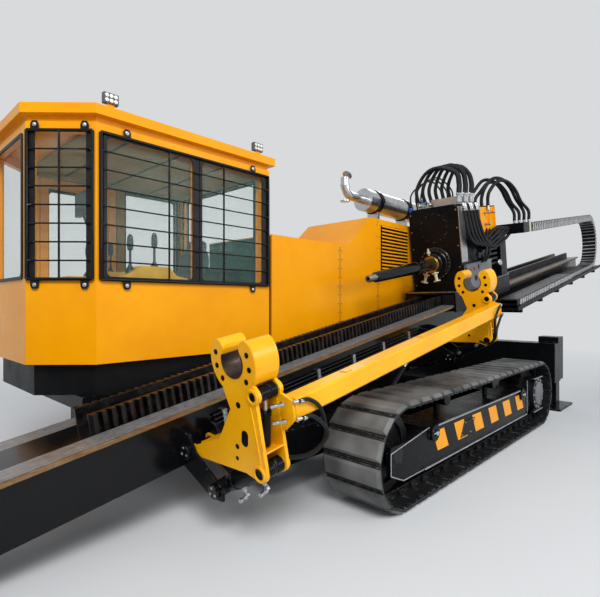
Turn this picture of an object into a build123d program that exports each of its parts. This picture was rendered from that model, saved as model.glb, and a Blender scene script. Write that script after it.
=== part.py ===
# Horizontal directional drill on steel tracks.
# Millimetres. +X is the drilling direction, +Y the pipe side, +Z up, ground at Z = 0.
# The origin is on the ground, midway between the tracks and their end wheels.
# Beam parts are drawn in the beam's own frame: u forward along it, v = Y, w up from its guide face.
import os
from math import atan2, cos, degrees, hypot, pi, radians, sin

from build123d import *

os.makedirs("parts", exist_ok=True)

SIDES = (("left", 1), ("right", -1))

# Tracks
WHEEL_X = 1685
TRACK_OUT = 1345
SHOE_WIDTH = 536
SHOE_COUNT = 48
SHOE_GAP = 26
SHOE_BEVEL = 30
LOOP_R = 384
LUG = 34.5
LOOP_INNER_R = 318
SEAT_GAP = 0.3
WHEEL_WIDTH = 110
AXLE_R = 62
ROLLER_R = 80
ROLLER_COUNT = 9
SPROCKET_TEETH = 21
TOOTH_DEPTH = 30
TRACK_Z = LOOP_R + LUG
TRACK_IN = TRACK_OUT - SHOE_WIDTH
TRACK_MID = TRACK_OUT - SHOE_WIDTH / 2
SIDE_FRAME_HALF = 170
FORK_THICK = 40

# Chassis and decks
RAIL_IN = 420
RAIL_OUT = 560
RAIL_Z = (300, 580)
SILL_Y = (-740, -500)
DECK_Z = (880, 990)
SILL_TOP = DECK_Z[0] - 10
CHASSIS_REAR = -2600
CHASSIS_FRONT = 2350

# Cab
CAB_REAR = 1500
CAB_FRONT = 3700
CAB_CHAMFER = 385
CAB_SHOULDER = CAB_FRONT - CAB_CHAMFER
CAB_IN = -450
CAB_OUT = -2200
CAB_WALL = 60
CAB_Z = (1120, 3010)
CAB_BASE_Z = (SILL_TOP, 1120)
ROOF_TOP = 3140
ROOF_LIP = 45
SILL_HEIGHT = 1790
WINDOW_TOP = 2930
GLASS = 8
DOOR_X = (2400, 3220)
DOOR_Z = (1160, 2930)
DOOR_GAP = 6

# Engine hood
HOOD_X = (-2550, 1460)
HOOD_Y = (-1600, -450)
HOOD_LOW = 2340
HOOD_HIGH = 2775
HOOD_STEP_X = (-365, 127)
HOOD_WALL = 30
LOUVRE_X = (-1250, -430)
LOUVRE_Z = (2060, 2700)
SLAT_COUNT = 12

# Beam frame: pivot position, slope and section
TILT = 9.7
PIVOT_X = 1900
GUIDE_Z = 1038
WEB_HALF = 300
WEB_DEPTH = 400
WEB_WALL = 20
GUIDE_HALF = 355
GUIDE_THICK = 32
BEAM_U = (-10200, 3500)
PIVOT_W = -440
PIVOT_R = 60

# Rack
RACK_MODULE = 20
RACK_PITCH = pi * RACK_MODULE
RACK_U = (-10000, 1700)
RACK_HEIGHT = 130
RACK_IN = 105
RACK_OUT = 165
RACK_TOOTH = 42

# Carriage and spindle
SPINDLE_W = 570
CARRIAGE_U = (-5250, -3150)
CARRIAGE_HALF = 385
CHEEK_IN = 362
GEARBOX_U = (-3980, -3430)
GEARBOX_W = (190, 1380)
SPINDLE_TIP = -1690
SPINDLE_R = 60
COLLAR_R = 108
NOSE_R = 45
NOSE_LENGTH = 130
MANIFOLD_HEIGHT = 110
HOSE_R = 22

# Pipe arms
ARM_U = (1065, -2375)
ARM_PIVOT = (380, -270)
ARM_HEAD = (997, 415)
ARM_PIN = (1120, -250)
ARM_BASE = (664, -480)
HEAD_R = 250
HEAD_BORE = 137
ARM_HALF = 95
PLATE_THICK = 24
ARM_PIN_R = 30
ARM_PLAY = 5
EYE_R = 58
LINK_AT = (1225, 105)
LINK_SIZE = 130

# Lift cylinders under the beam
LIFT_Y = 365
LIFT_BASE = (700, 430)
LIFT_EYE_HALF = 35
LIFT_PIN_R = 22
LIFT_HEAD_U = -2060
LIFT_HEAD_W = -300
LIFT_BARREL = 700
LIFT_ROD_R = 20

# Rear legs, each in a sleeve
LEG_X = (-3120, -2940)
LEG_Y = (980, 1180)
LEG_TOP = 730
LEG_SOLE = 30
SLEEVE_Z = (430, 1080)
SLEEVE_WALL = 40

# Energy chain
CHAIN_V = (430, 740)
CHAIN_HEIGHT = 150
CHAIN_WALL = 16
CHAIN_GAP = 0.8
CHAIN_LOW_W = -225
CHAIN_HIGH_W = 925
CHAIN_BEND_U = -9750
CHAIN_FIXED_U = -4500
CHAIN_MOVING_U = -5290
CHAIN_OVERLAP = 2000
CHAIN_NEST = 200

BEAM = Location(Plane(origin=(PIVOT_X, 0, GUIDE_Z),
                      x_dir=(cos(radians(TILT)), 0, -sin(radians(TILT))),
                      z_dir=(sin(radians(TILT)), 0, cos(radians(TILT)))))


def save(name, shape):
    export_step(shape, f"parts/{name}.step")


def save_beam(name, shape):
    save(name, BEAM * shape)


def ordered(a, b):
    return (min(a, b), max(a, b))


def mirror_y(span, side):
    """A Y span for the left side (1) or the right side (-1)."""
    return ordered(span[0] * side, span[1] * side)


def widen_span(span, by):
    return (span[0] - by, span[1] + by)


def block(x, y, z):
    size = [hi - lo for lo, hi in (x, y, z)]
    middle = [(hi + lo) / 2 for lo, hi in (x, y, z)]
    return Pos(*middle) * Box(*size)


def rod(axis, radius, span, at):
    """A round bar along an axis over span, at the other two coordinates."""
    lo, hi = span
    bar = Cylinder(radius, hi - lo, align=(Align.CENTER, Align.CENTER, Align.MIN))
    if axis == "X":
        return Pos(lo, at[0], at[1]) * Rot(0, 90, 0) * bar
    if axis == "Y":
        return Pos(at[0], lo, at[1]) * Rot(-90, 0, 0) * bar
    return Pos(at[0], at[1], lo) * bar


def plate(axis, points, span):
    """A flat outline in the plane across an axis, thickened over span."""
    lo, hi = span
    place = {"X": lambda p: (lo, p[0], p[1]),
             "Y": lambda p: (p[0], lo, p[1]),
             "Z": lambda p: (p[0], p[1], lo)}[axis]
    way = {"X": (1, 0, 0), "Y": (0, 1, 0), "Z": (0, 0, 1)}[axis]
    face = make_face(Polyline(*[place(p) for p in points], close=True))
    return extrude(face, amount=hi - lo, dir=way)


def join(pieces):
    """One shape of solids, fused where they touch."""
    pieces = list(pieces)
    whole = pieces[0]
    for piece in pieces[1:]:
        whole = whole + piece
    return whole


def group(pieces):
    """Separate solids kept in one node."""
    return Compound(children=[solid for piece in pieces for solid in piece.solids()])


def loop_point(s, half, base, offset):
    """Point at length s round a stadium whose ends are at -half and half, moved out by offset."""
    straight = 2 * half
    arc = pi * base
    r = base + offset
    s %= 2 * (straight + arc)
    if s < straight:
        return (s - half, -r)
    s -= straight
    if s < arc:
        a = s / base - pi / 2
        return (half + r * cos(a), r * sin(a))
    s -= arc
    if s < straight:
        return (half - s, r)
    a = (s - straight) / base + pi / 2
    return (-half + r * cos(a), r * sin(a))


# Tracks, one closed loop of shoes each
def track_loop(side):
    length = 2 * (2 * WHEEL_X + pi * LOOP_R)
    pitch = length / SHOE_COUNT
    outer = []
    for i in range(SHOE_COUNT):
        start = i * pitch + SHOE_GAP / 2
        stop = (i + 1) * pitch - SHOE_GAP / 2
        for s, out in ((start, 0), (start + SHOE_BEVEL, LUG), (stop - SHOE_BEVEL, LUG), (stop, 0)):
            x, z = loop_point(s, WHEEL_X, LOOP_R, out)
            outer.append((x, z + TRACK_Z))
    segments = 12
    corner_r = LOOP_INNER_R / cos(pi / segments / 2)
    inner = []
    for end, first in ((1, -pi / 2), (-1, pi / 2)):
        for i in range(segments + 1):
            a = first + pi * i / segments
            inner.append((end * WHEEL_X + corner_r * cos(a), TRACK_Z + corner_r * sin(a)))
    span = mirror_y((TRACK_IN, TRACK_OUT), side)
    return plate("Y", outer, span) - plate("Y", inner, span)


# Idler at the front and toothed sprocket at the rear, each with its axle
def idler(side):
    half = WHEEL_WIDTH / 2
    at = (WHEEL_X, TRACK_Z)
    rim = rod("Y", LOOP_INNER_R - SEAT_GAP, (TRACK_MID - half, TRACK_MID + half), at)
    dish = rod("Y", LOOP_INNER_R - 70, (TRACK_MID + half - 30, TRACK_MID + half), at)
    hub = rod("Y", 110, (TRACK_MID - half, TRACK_MID + half), at)
    axle = rod("Y", AXLE_R, (TRACK_MID - SIDE_FRAME_HALF, TRACK_MID + SIDE_FRAME_HALF), at)
    wheel = rim - dish + hub + axle
    return wheel if side > 0 else mirror(wheel, Plane.XZ)


def sprocket(side):
    half = WHEEL_WIDTH / 2
    outline = []
    for i in range(SPROCKET_TEETH):
        for part, r in ((0.0, LOOP_INNER_R - SEAT_GAP), (0.25, LOOP_INNER_R - SEAT_GAP),
                        (0.5, LOOP_INNER_R - TOOTH_DEPTH), (0.75, LOOP_INNER_R - TOOTH_DEPTH)):
            a = 2 * pi * (i + part) / SPROCKET_TEETH
            outline.append((-WHEEL_X + r * cos(a), TRACK_Z + r * sin(a)))
    ring = plate("Y", outline, (TRACK_MID - half, TRACK_MID + half))
    drive = rod("Y", 205, (TRACK_MID - half, TRACK_OUT - 60), (-WHEEL_X, TRACK_Z))
    motor = rod("Y", 165, (TRACK_IN + 20, TRACK_MID), (-WHEEL_X, TRACK_Z))
    wheel = ring + drive + motor
    return wheel if side > 0 else mirror(wheel, Plane.XZ)


# Side frame with its forks, lower rollers, carrier rollers and tow lugs
def track_frame(side):
    end = WHEEL_X - LOOP_INNER_R - 20
    low = LOOP_INNER_R + TRACK_Z - 2 * LOOP_INNER_R + 100
    high = TRACK_Z + 120
    y = (TRACK_MID - SIDE_FRAME_HALF, TRACK_MID + SIDE_FRAME_HALF)
    body = plate("Y", [(-end, low + 60), (-end + 80, low), (end - 80, low), (end, low + 60),
                       (end, high - 80), (end - 120, high), (-end + 120, high), (-end, high - 80)], y)
    pieces = [body]
    for lo, hi in ((y[0], y[0] + FORK_THICK), (y[1] - FORK_THICK, y[1])):
        fork = block((end - 10, WHEEL_X + 110), (lo, hi), (TRACK_Z - 75, TRACK_Z + 75))
        pieces.append(fork - rod("Y", AXLE_R + SEAT_GAP, (lo, hi), (WHEEL_X, TRACK_Z)))
    pieces.append(block((-WHEEL_X + 215, -end + 10), (y[1] - FORK_THICK, y[1]), (TRACK_Z - 130, TRACK_Z + 130)))
    roller_z = TRACK_Z - LOOP_INNER_R + ROLLER_R + SEAT_GAP
    for i in range(ROLLER_COUNT):
        x = (end - 110) * (2 * i / (ROLLER_COUNT - 1) - 1)
        pieces.append(rod("Y", ROLLER_R, (TRACK_MID - 60, TRACK_MID + 60), (x, roller_z)))
        pieces.append(block((x - 30, x + 30), (TRACK_MID - 110, TRACK_MID + 110), (roller_z - 30, low + 10)))
    for x in (-600, 600):
        top_z = TRACK_Z + LOOP_INNER_R - 65 - SEAT_GAP
        pieces.append(rod("Y", 65, (TRACK_MID - 50, TRACK_MID + 50), (x, top_z)))
        pieces.append(block((x - 35, x + 35), (TRACK_MID - 80, TRACK_MID - 50), (high - 10, top_z + 20)))
    for x in (-1130, 1130):
        lug = rod("Y", 70, (y[1], y[1] + 30), (x, high - 60))
        pieces.append(lug - rod("Y", 32, (y[1], y[1] + 30), (x, high - 60)))
    whole = join(pieces)
    return whole if side > 0 else mirror(whole, Plane.XZ)


for word, side in SIDES:
    save(f"track_{word}", track_loop(side))
    save(f"track_frame_{word}", track_frame(side))
    save(f"idler_{word}", idler(side))
    save(f"sprocket_{word}", sprocket(side))


# Chassis: rails between the tracks, cross beams to the side frames, and the beam's pivot lugs
def chassis_frame():
    reach = TRACK_MID - SIDE_FRAME_HALF
    pieces = []
    for side in (1, -1):
        pieces.append(block((CHASSIS_REAR, CHASSIS_FRONT), mirror_y((RAIL_IN, RAIL_OUT), side), RAIL_Z))
        lug = plate("Y", [(PIVOT_X - 220, RAIL_Z[1]), (PIVOT_X + 220, RAIL_Z[1]), (PIVOT_X + 80, 760),
                          (PIVOT_X - 80, 760)], mirror_y((RAIL_IN, RAIL_IN + 50), side))
        pieces.append(lug)
        pin = rod("Y", LIFT_PIN_R, mirror_y((LIFT_Y - LIFT_EYE_HALF, RAIL_IN), side), LIFT_BASE)
        pieces.append(pin)
    for x in (-1150, 1000):
        pieces.append(block((x - 170, x + 170), (-reach, reach), (320, 500)))
    for x in (CHASSIS_REAR + 60, CHASSIS_FRONT - 60):
        pieces.append(block((x - 60, x + 60), (-RAIL_OUT, RAIL_OUT), (320, 540)))
    whole = join(pieces)
    return whole - rod("Y", PIVOT_R + SEAT_GAP, (-RAIL_OUT, RAIL_OUT), pivot_xz())


def pivot_xz():
    """The beam's tilt pin, from its place in the beam's own frame."""
    t = radians(TILT)
    return (PIVOT_X + PIVOT_W * sin(t), GUIDE_Z + PIVOT_W * cos(t))


# Deck on the far side: a deep sill beside the beam that carries the cab, and a platform for the engine
def deck_frame():
    sill = block((CHASSIS_REAR, 3400), SILL_Y, (600, SILL_TOP))
    stands = [block((x - 60, x + 60), (-740, -RAIL_IN), (RAIL_Z[1], 640)) for x in (-2200, -900, 400, 1500)]
    platform = block((HOOD_X[0], CAB_REAR - 20), HOOD_Y, DECK_Z)
    packer = block((HOOD_X[0], CAB_REAR - 20), SILL_Y, (SILL_TOP - 10, DECK_Z[0]))
    arms = [block((x - 75, x + 75), (-1950, SILL_Y[0]), (SILL_TOP - 150, SILL_TOP)) for x in (2330, 3270)]
    return join([sill, platform, packer] + arms + stands)


def rear_frame():
    """Rear cross box with a sleeve for each leg."""
    pieces = [block((-2900, CHASSIS_REAR), (-1250, 1250), (SLEEVE_Z[0], 1000))]
    for side in (1, -1):
        sleeve = block(widen_span(LEG_X, SLEEVE_WALL), mirror_y(widen_span(LEG_Y, SLEEVE_WALL), side), SLEEVE_Z)
        pieces.append(sleeve - block(LEG_X, mirror_y(LEG_Y, side), (SLEEVE_Z[0] - 5, SLEEVE_Z[1] - SLEEVE_WALL)))
    return join(pieces)


def rear_leg(side):
    """Sliding post and ground plate."""
    post_x = widen_span(LEG_X, -SEAT_GAP)
    post = block(post_x, mirror_y(widen_span(LEG_Y, -SEAT_GAP), side), (LEG_SOLE, LEG_TOP))
    foot = block(widen_span(LEG_X, 260), mirror_y(widen_span(LEG_Y, 120), side), (0, LEG_SOLE))
    toe, heel = post_x[0] - 240, post_x[0] + 5
    rib = plate("Y", [(toe, LEG_SOLE), (heel, LEG_SOLE), (heel, LEG_SOLE + 90)], mirror_y((1060, 1100), side))
    return post + foot + rib


save("chassis_frame", chassis_frame())
save("deck_frame", deck_frame())
save("rear_frame", rear_frame())
for word, side in SIDES:
    save(f"leg_{word}", rear_leg(side))


# Cab
def cab_outline(inset):
    """The cab's plan, all walls moved in by inset."""
    slant = inset * (2 ** 0.5 - 1)
    x0, x1 = CAB_REAR + inset, CAB_FRONT - inset
    y0, y1 = CAB_OUT + inset, CAB_IN - inset
    c = CAB_CHAMFER - inset + slant
    return [(x0, y1), (x1 - c, y1), (x1, y1 - c), (x1, y0 + c), (x1 - c, y0), (x0, y0)]


def on_chamfer(side_y, width, z, depth):
    """A box across one of the front corners, centred on its face."""
    y = CAB_IN - CAB_CHAMFER / 2 if side_y > 0 else CAB_OUT + CAB_CHAMFER / 2
    x = CAB_FRONT - CAB_CHAMFER / 2
    lo, hi = z
    return Pos(x, y, (lo + hi) / 2) * Rot(0, 0, 45 * side_y) * Box(depth, width, hi - lo)


CHAMFER_WIDTH = CAB_CHAMFER * 2 ** 0.5
WINDOW_Z = (SILL_HEIGHT, WINDOW_TOP)
# Windows in straight walls: x span, y span
WINDOWS = (((1590, 2370), (CAB_IN - CAB_WALL, CAB_IN)),
           ((2430, 3250), (CAB_IN - CAB_WALL, CAB_IN)),
           ((CAB_FRONT - CAB_WALL, CAB_FRONT), (CAB_OUT + CAB_CHAMFER + 60, CAB_IN - CAB_CHAMFER - 60)),
           ((1590, 2310), (CAB_OUT, CAB_OUT + CAB_WALL)),
           ((CAB_REAR, CAB_REAR + CAB_WALL), (CAB_OUT + 160, CAB_IN - 160)))


def widen(x, y, by):
    """Stretch the span that crosses the wall, so that a cut passes right through."""
    if x[1] - x[0] < y[1] - y[0]:
        return (x[0] - by, x[1] + by), y
    return x, (y[0] - by, y[1] + by)


def cab_shell():
    shell = plate("Z", cab_outline(0), CAB_Z) - plate("Z", cab_outline(CAB_WALL), (CAB_Z[0] + 30, CAB_Z[1]))
    for x, y in WINDOWS:
        wide_x, wide_y = widen(x, y, 20)
        shell -= block(wide_x, wide_y, WINDOW_Z)
    for side in (1, -1):
        shell -= on_chamfer(side, CHAMFER_WIDTH - 110, WINDOW_Z, 220)
    shell -= block(DOOR_X, (CAB_OUT - 10, CAB_OUT + CAB_WALL + 10), DOOR_Z)
    return join([shell] + [hinge_half(low, (HINGE_AT[0] - 60, HINGE_AT[0])) for low in HINGE_Z])


def cab_glass():
    panes = []
    middle = CAB_WALL / 2
    for x, y in WINDOWS:
        if x[1] - x[0] < y[1] - y[0]:
            x = ((x[0] + x[1] - GLASS) / 2, (x[0] + x[1] + GLASS) / 2)
        else:
            y = ((y[0] + y[1] - GLASS) / 2, (y[0] + y[1] + GLASS) / 2)
        panes.append(block(x, y, WINDOW_Z))
    inward = middle / 2 ** 0.5
    for side in (1, -1):
        panes.append(Pos(-inward, -inward * side, 0) * on_chamfer(side, CHAMFER_WIDTH - 110, WINDOW_Z, GLASS))
    return group(panes)


def cab_roof():
    top = plate("Z", cab_outline(-ROOF_LIP), (CAB_Z[1] + 50, ROOF_TOP))
    return top + plate("Z", cab_outline(15), (CAB_Z[1], CAB_Z[1] + 50))


def cab_base():
    return plate("Z", cab_outline(70), CAB_BASE_Z)


HINGE_AT = (DOOR_X[0] - 12, CAB_OUT - 16)
HINGE_R = 14
HINGE_HEIGHT = 60
HINGE_Z = (1420, 2650)


def hinge_half(z, x):
    """A hinge knuckle at height z, with its leaf over the x span."""
    span = (z, z + HINGE_HEIGHT - SEAT_GAP)
    return rod("Z", HINGE_R, span, HINGE_AT) + block(x, (HINGE_AT[1] - 5, CAB_OUT), span)


def cab_door():
    x = (DOOR_X[0] + DOOR_GAP, DOOR_X[1] - DOOR_GAP)
    z = (DOOR_Z[0] + DOOR_GAP, DOOR_Z[1] - DOOR_GAP)
    leaf = block(x, (CAB_OUT, CAB_OUT + CAB_WALL), z)
    window = block((x[0] + 80, x[1] - 80), (CAB_OUT - 10, CAB_OUT + CAB_WALL + 10), (SILL_HEIGHT - 300, z[1] - 90))
    handle = block((x[1] - 60, x[1] - 30), (CAB_OUT - 45, CAB_OUT), (1700, 1900))
    hinges = [hinge_half(low + HINGE_HEIGHT, (HINGE_AT[0], x[0] + 60)) for low in HINGE_Z]
    return join([leaf - window, handle] + hinges)


def cab_door_glass():
    x = (DOOR_X[0] + DOOR_GAP + 80, DOOR_X[1] - DOOR_GAP - 80)
    y = CAB_OUT + CAB_WALL / 2
    return block(x, (y - GLASS / 2, y + GLASS / 2), (SILL_HEIGHT - 300, DOOR_Z[1] - DOOR_GAP - 90))


def guard(width, bars, posts):
    """A window guard standing in the YZ plane, its back face at x = 0."""
    lo, hi = WINDOW_Z[0] - 20, WINDOW_Z[1] + 20
    half = width / 2
    pieces = [block((0, 30), (-half, half), (z, z + 30)) for z in (lo, hi - 30)]
    pieces += [block((0, 30), (y, y + 30), (lo, hi)) for y in (-half, half - 30)]
    for i in range(bars):
        z = lo + (hi - lo) * (i + 1) / (bars + 1)
        pieces.append(block((8, 20), (-half, half), (z - 6, z + 6)))
    for i in range(posts):
        y = -half + width * (i + 1) / (posts + 1)
        pieces.append(block((8, 20), (y - 6, y + 6), (lo, hi)))
    for y in (-half + 60, half - 110):
        pieces.append(block((0, 12), (y, y + 50), (hi, hi + 60)))
    return join(pieces)


def cab_guards():
    gap = SEAT_GAP
    corner = Pos(CAB_FRONT - CAB_CHAMFER / 2 + gap, CAB_IN - CAB_CHAMFER / 2 + gap, 0) * Rot(0, 0, 45)
    span = CAB_SHOULDER - CAB_REAR - 60
    side = Pos((CAB_SHOULDER + CAB_REAR) / 2, CAB_IN + gap, 0) * Rot(0, 0, 90)
    return group([corner * guard(CHAMFER_WIDTH - 40, 6, 1), side * guard(span, 7, 5)])


def cab_seat():
    x, y = 2150, -1325
    post = block((x - 120, x + 120), (y - 120, y + 120), (CAB_Z[0] + 30, 1500))
    cushion = block((x - 250, x + 250), (y - 260, y + 260), (1500, 1620))
    back = plate("Y", [(x - 250, 1620), (x - 140, 1620), (x - 210, 2280), (x - 310, 2280)], (y - 240, y + 240))
    return join([post, cushion, back])


def cab_console():
    x = 3050
    desk = plate("Y", [(x - 150, 1150), (x + 350, 1150), (x + 350, 1820), (x + 50, 1820), (x - 150, 1620)],
                 (-1900, -760))
    return desk


save("cab_shell", cab_shell())
save("cab_glass", cab_glass())
save("cab_roof", cab_roof())
save("cab_base", cab_base())
save("cab_door", cab_door())
save("cab_door_glass", cab_door_glass())
save("cab_guards", cab_guards())
save("cab_seat", cab_seat())
save("cab_console", cab_console())


# Engine hood, louvres, engine, muffler and exhaust
def hood_outline(inset):
    x0, x1 = HOOD_X[0] + inset, HOOD_X[1] - inset
    return [(x1, DECK_Z[1]), (x1, HOOD_LOW - inset), (HOOD_STEP_X[1], HOOD_LOW - inset),
            (HOOD_STEP_X[0], HOOD_HIGH - inset), (x0, HOOD_HIGH - inset), (x0, DECK_Z[1])]


def hood():
    shell = plate("Y", hood_outline(0), HOOD_Y)
    shell -= plate("Y", hood_outline(HOOD_WALL), (HOOD_Y[0] + HOOD_WALL, HOOD_Y[1] - HOOD_WALL))
    for y in ((HOOD_Y[1] - HOOD_WALL - 10, HOOD_Y[1] + 10), (HOOD_Y[0] - 10, HOOD_Y[0] + HOOD_WALL + 10)):
        shell -= block(LOUVRE_X, y, LOUVRE_Z)
    return shell


def louvre_panels():
    """Slatted panels in both side openings."""
    panels = []
    pitch = (LOUVRE_Z[1] - LOUVRE_Z[0]) / SLAT_COUNT
    depth = HOOD_WALL - 4
    for face, way in ((HOOD_Y[1], 1), (HOOD_Y[0], -1)):
        inner = face - way * (HOOD_WALL - 2)
        rim = block(LOUVRE_X, ordered(inner, inner + way * depth), LOUVRE_Z)
        rim -= block((LOUVRE_X[0] + 20, LOUVRE_X[1] - 20), ordered(inner - way, face + way),
                     (LOUVRE_Z[0] + 10, LOUVRE_Z[1] - 10))
        slats = []
        for i in range(SLAT_COUNT):
            z = LOUVRE_Z[0] + 8 + pitch * i
            outline = [(inner, z + pitch * 0.55), (inner, z + pitch * 0.75), (face - 2 * way, z + pitch * 0.25),
                       (face - 2 * way, z)]
            slats.append(plate("X", outline, (LOUVRE_X[0] + 10, LOUVRE_X[1] - 10)))
        panels.append(join([rim] + slats))
    return group(panels)


MUFFLER_Y = -800
MUFFLER_Z = 3120
MUFFLER_R = 165
MUFFLER_X = (-2050, -680)
PIPE_R = 62
PIPE_X = -255
PIPE_TOP = 3360


def muffler():
    can = rod("X", MUFFLER_R, MUFFLER_X, (MUFFLER_Y, MUFFLER_Z))
    pieces = [can]
    for x in (-1750, -950):
        pieces.append(rod("X", MUFFLER_R + 12, (x - 30, x + 30), (MUFFLER_Y, MUFFLER_Z)))
        pieces.append(block((x - 30, x + 30), (MUFFLER_Y - 90, MUFFLER_Y + 90), (HOOD_HIGH, MUFFLER_Z)))
    return join(pieces)


def exhaust_pipe():
    bend = 150
    path = FilletPolyline((MUFFLER_X[1], MUFFLER_Y, MUFFLER_Z), (PIPE_X, MUFFLER_Y, MUFFLER_Z),
                          (PIPE_X, MUFFLER_Y, PIPE_TOP), radius=bend)
    start = Plane(origin=(MUFFLER_X[1], MUFFLER_Y, MUFFLER_Z), z_dir=(1, 0, 0))
    pipe = sweep(start * Circle(PIPE_R), path=path)
    cap = Pos(PIPE_X - 50, MUFFLER_Y, PIPE_TOP + 45) * Rot(0, -40, 0) * Cylinder(PIPE_R + 8, 8)
    lug = block((PIPE_X - PIPE_R - 20, PIPE_X - PIPE_R + 10), (MUFFLER_Y - 15, MUFFLER_Y + 15),
                (PIPE_TOP - 40, PIPE_TOP + 20))
    return join([pipe, lug, cap])


def engine_block():
    return block((-2500, -900), (-1300, -750), (DECK_Z[1], 2050))


def work_lamps():
    lamps = []
    for x in (1620, 3180):
        stem = block((x - 12, x + 12), (CAB_IN - 62, CAB_IN - 38), (ROOF_TOP, ROOF_TOP + 60))
        head = block((x - 60, x + 60), (CAB_IN - 80, CAB_IN - 20), (ROOF_TOP + 60, ROOF_TOP + 150))
        lamps.append(stem + head)
    return group(lamps)


save("hood", hood())
save("louvre_panels", louvre_panels())
save("muffler", muffler())
save("exhaust_pipe", exhaust_pipe())
save("engine_block", engine_block())
save("work_lamps", work_lamps())


# Main beam: a box with guide flanges, hinged on the chassis by the pivot boss under it
def main_beam():
    webs = block(BEAM_U, (-WEB_HALF, WEB_HALF), (-WEB_DEPTH, -GUIDE_THICK))
    core = (-WEB_DEPTH + WEB_WALL, -GUIDE_THICK)
    webs -= block((BEAM_U[0] - 5, BEAM_U[1] + 5), (-WEB_HALF + WEB_WALL, WEB_HALF - WEB_WALL), core)
    guide = block(BEAM_U, (-GUIDE_HALF, GUIDE_HALF), (-GUIDE_THICK, 0))
    pieces = [webs, guide]
    for side in (1, -1):
        cheek = plate("Y", [(-260, -WEB_DEPTH + 120), (-90, PIVOT_W - 90), (90, PIVOT_W - 90), (260, -WEB_DEPTH + 120)],
                      mirror_y((WEB_HALF, RAIL_IN - 40), side))
        pieces.append(cheek)
        pieces.append(rod("Y", PIVOT_R, mirror_y((WEB_HALF, RAIL_IN + 50), side), (0, PIVOT_W)))
        lug = plate("Y", [(LIFT_HEAD_U - 110, -WEB_DEPTH + 40), (LIFT_HEAD_U + 110, -WEB_DEPTH + 40),
                          (LIFT_HEAD_U + 110, -200), (LIFT_HEAD_U - 110, -200)],
                    mirror_y((WEB_HALF, LIFT_Y - LIFT_EYE_HALF - SEAT_GAP), side))
        pieces.append(lug)
    return join(pieces)


def rack(side):
    """A bar with straight-sided teeth along its outer face."""
    teeth = int((RACK_U[1] - RACK_U[0]) // RACK_PITCH)
    start = RACK_U[1] - teeth * RACK_PITCH
    root = RACK_OUT - RACK_TOOTH
    outline = [(start, RACK_IN * side)]
    for i in range(teeth):
        u = start + i * RACK_PITCH
        outline += [(u + RACK_PITCH * part, v * side)
                    for part, v in ((0.0, root), (0.23, root), (0.43, RACK_OUT), (0.80, RACK_OUT))]
    outline += [(RACK_U[1], root * side), (RACK_U[1], RACK_IN * side)]
    return plate("Z", outline, (0, RACK_HEIGHT))


VISE_U = (2950, 3400)
WRENCH_U = (2480, 2880)
VISE_BORE = 170
VISE_HALF = 330
WRENCH_R = 330


def vise_clamp():
    """Fixed front clamp round the drill pipe."""
    frame = block(VISE_U, (-VISE_HALF, VISE_HALF), (0, SPINDLE_W + 330))
    frame -= rod("X", VISE_BORE, (VISE_U[0] - 5, VISE_U[1] + 5), (0, SPINDLE_W))
    pieces = [frame]
    for side in (1, -1):
        pieces.append(rod("Y", 95, mirror_y((VISE_HALF, VISE_HALF + 210), side), ((VISE_U[0] + VISE_U[1]) / 2, SPINDLE_W)))
    ledge = block((WRENCH_U[0] - 20, VISE_U[0]), (-VISE_HALF, VISE_HALF), (0, SPINDLE_W - WRENCH_R - SEAT_GAP))
    return join(pieces + [ledge])


def vise_wrench():
    """Turning clamp that breaks the pipe joints."""
    ring = rod("X", WRENCH_R, WRENCH_U, (0, SPINDLE_W))
    jaws = block(WRENCH_U, (-400, 400), (SPINDLE_W - 110, SPINDLE_W + 110))
    return ring + jaws - rod("X", VISE_BORE, (WRENCH_U[0] - 5, WRENCH_U[1] + 5), (0, SPINDLE_W))


FOOT_X = (4800, 5650)
FOOT_HALF = 620
FOOT_THICK = 30
STAKE_R = 45
STAKE_X = (4900, 5550)
STAKE_Y = 540


def front_foot():
    """Ground plate with stake holes under the beam's front end, with its two hangers."""
    sole = block(FOOT_X, (-FOOT_HALF, FOOT_HALF), (0, FOOT_THICK))
    for x in STAKE_X:
        for y in (-STAKE_Y, STAKE_Y):
            sole -= rod("Z", STAKE_R, (-5, FOOT_THICK + 5), (x, y))
    pieces = [sole]
    for side in (1, -1):
        outline = [(FOOT_X[0] + 60, FOOT_THICK), (FOOT_X[1] - 60, FOOT_THICK), (5350, 330), (5080, 380)]
        pieces.append(plate("Y", outline, mirror_y((WEB_HALF, WEB_HALF + 40), side)))
    return join(pieces)


def arm_brackets():
    """Side brackets that carry the pipe arms and the feet of their cylinders."""
    pieces = []
    pv, pw = ARM_PIVOT
    bv, bw = ARM_BASE
    outline = [(WEB_HALF, -130), (pv + 40, -150), (pv + 90, pw), (bv + 75, bw + 30), (bv + 60, bw - 65),
               (bv - 60, bw - 75), (WEB_HALF, -WEB_DEPTH)]
    for u in ARM_U:
        for side in (1, -1):
            lo = ARM_HALF + ARM_PLAY + SEAT_GAP
            cheek = plate("X", outline, ordered(u + side * lo, u + side * (lo + 20)))
            for at in (ARM_PIVOT, ARM_BASE):
                cheek += rod("X", ARM_PIN_R, ordered(u + side * 40, u + side * (lo + 30)), at)
            pieces.append(cheek)
    return group(pieces)


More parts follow.
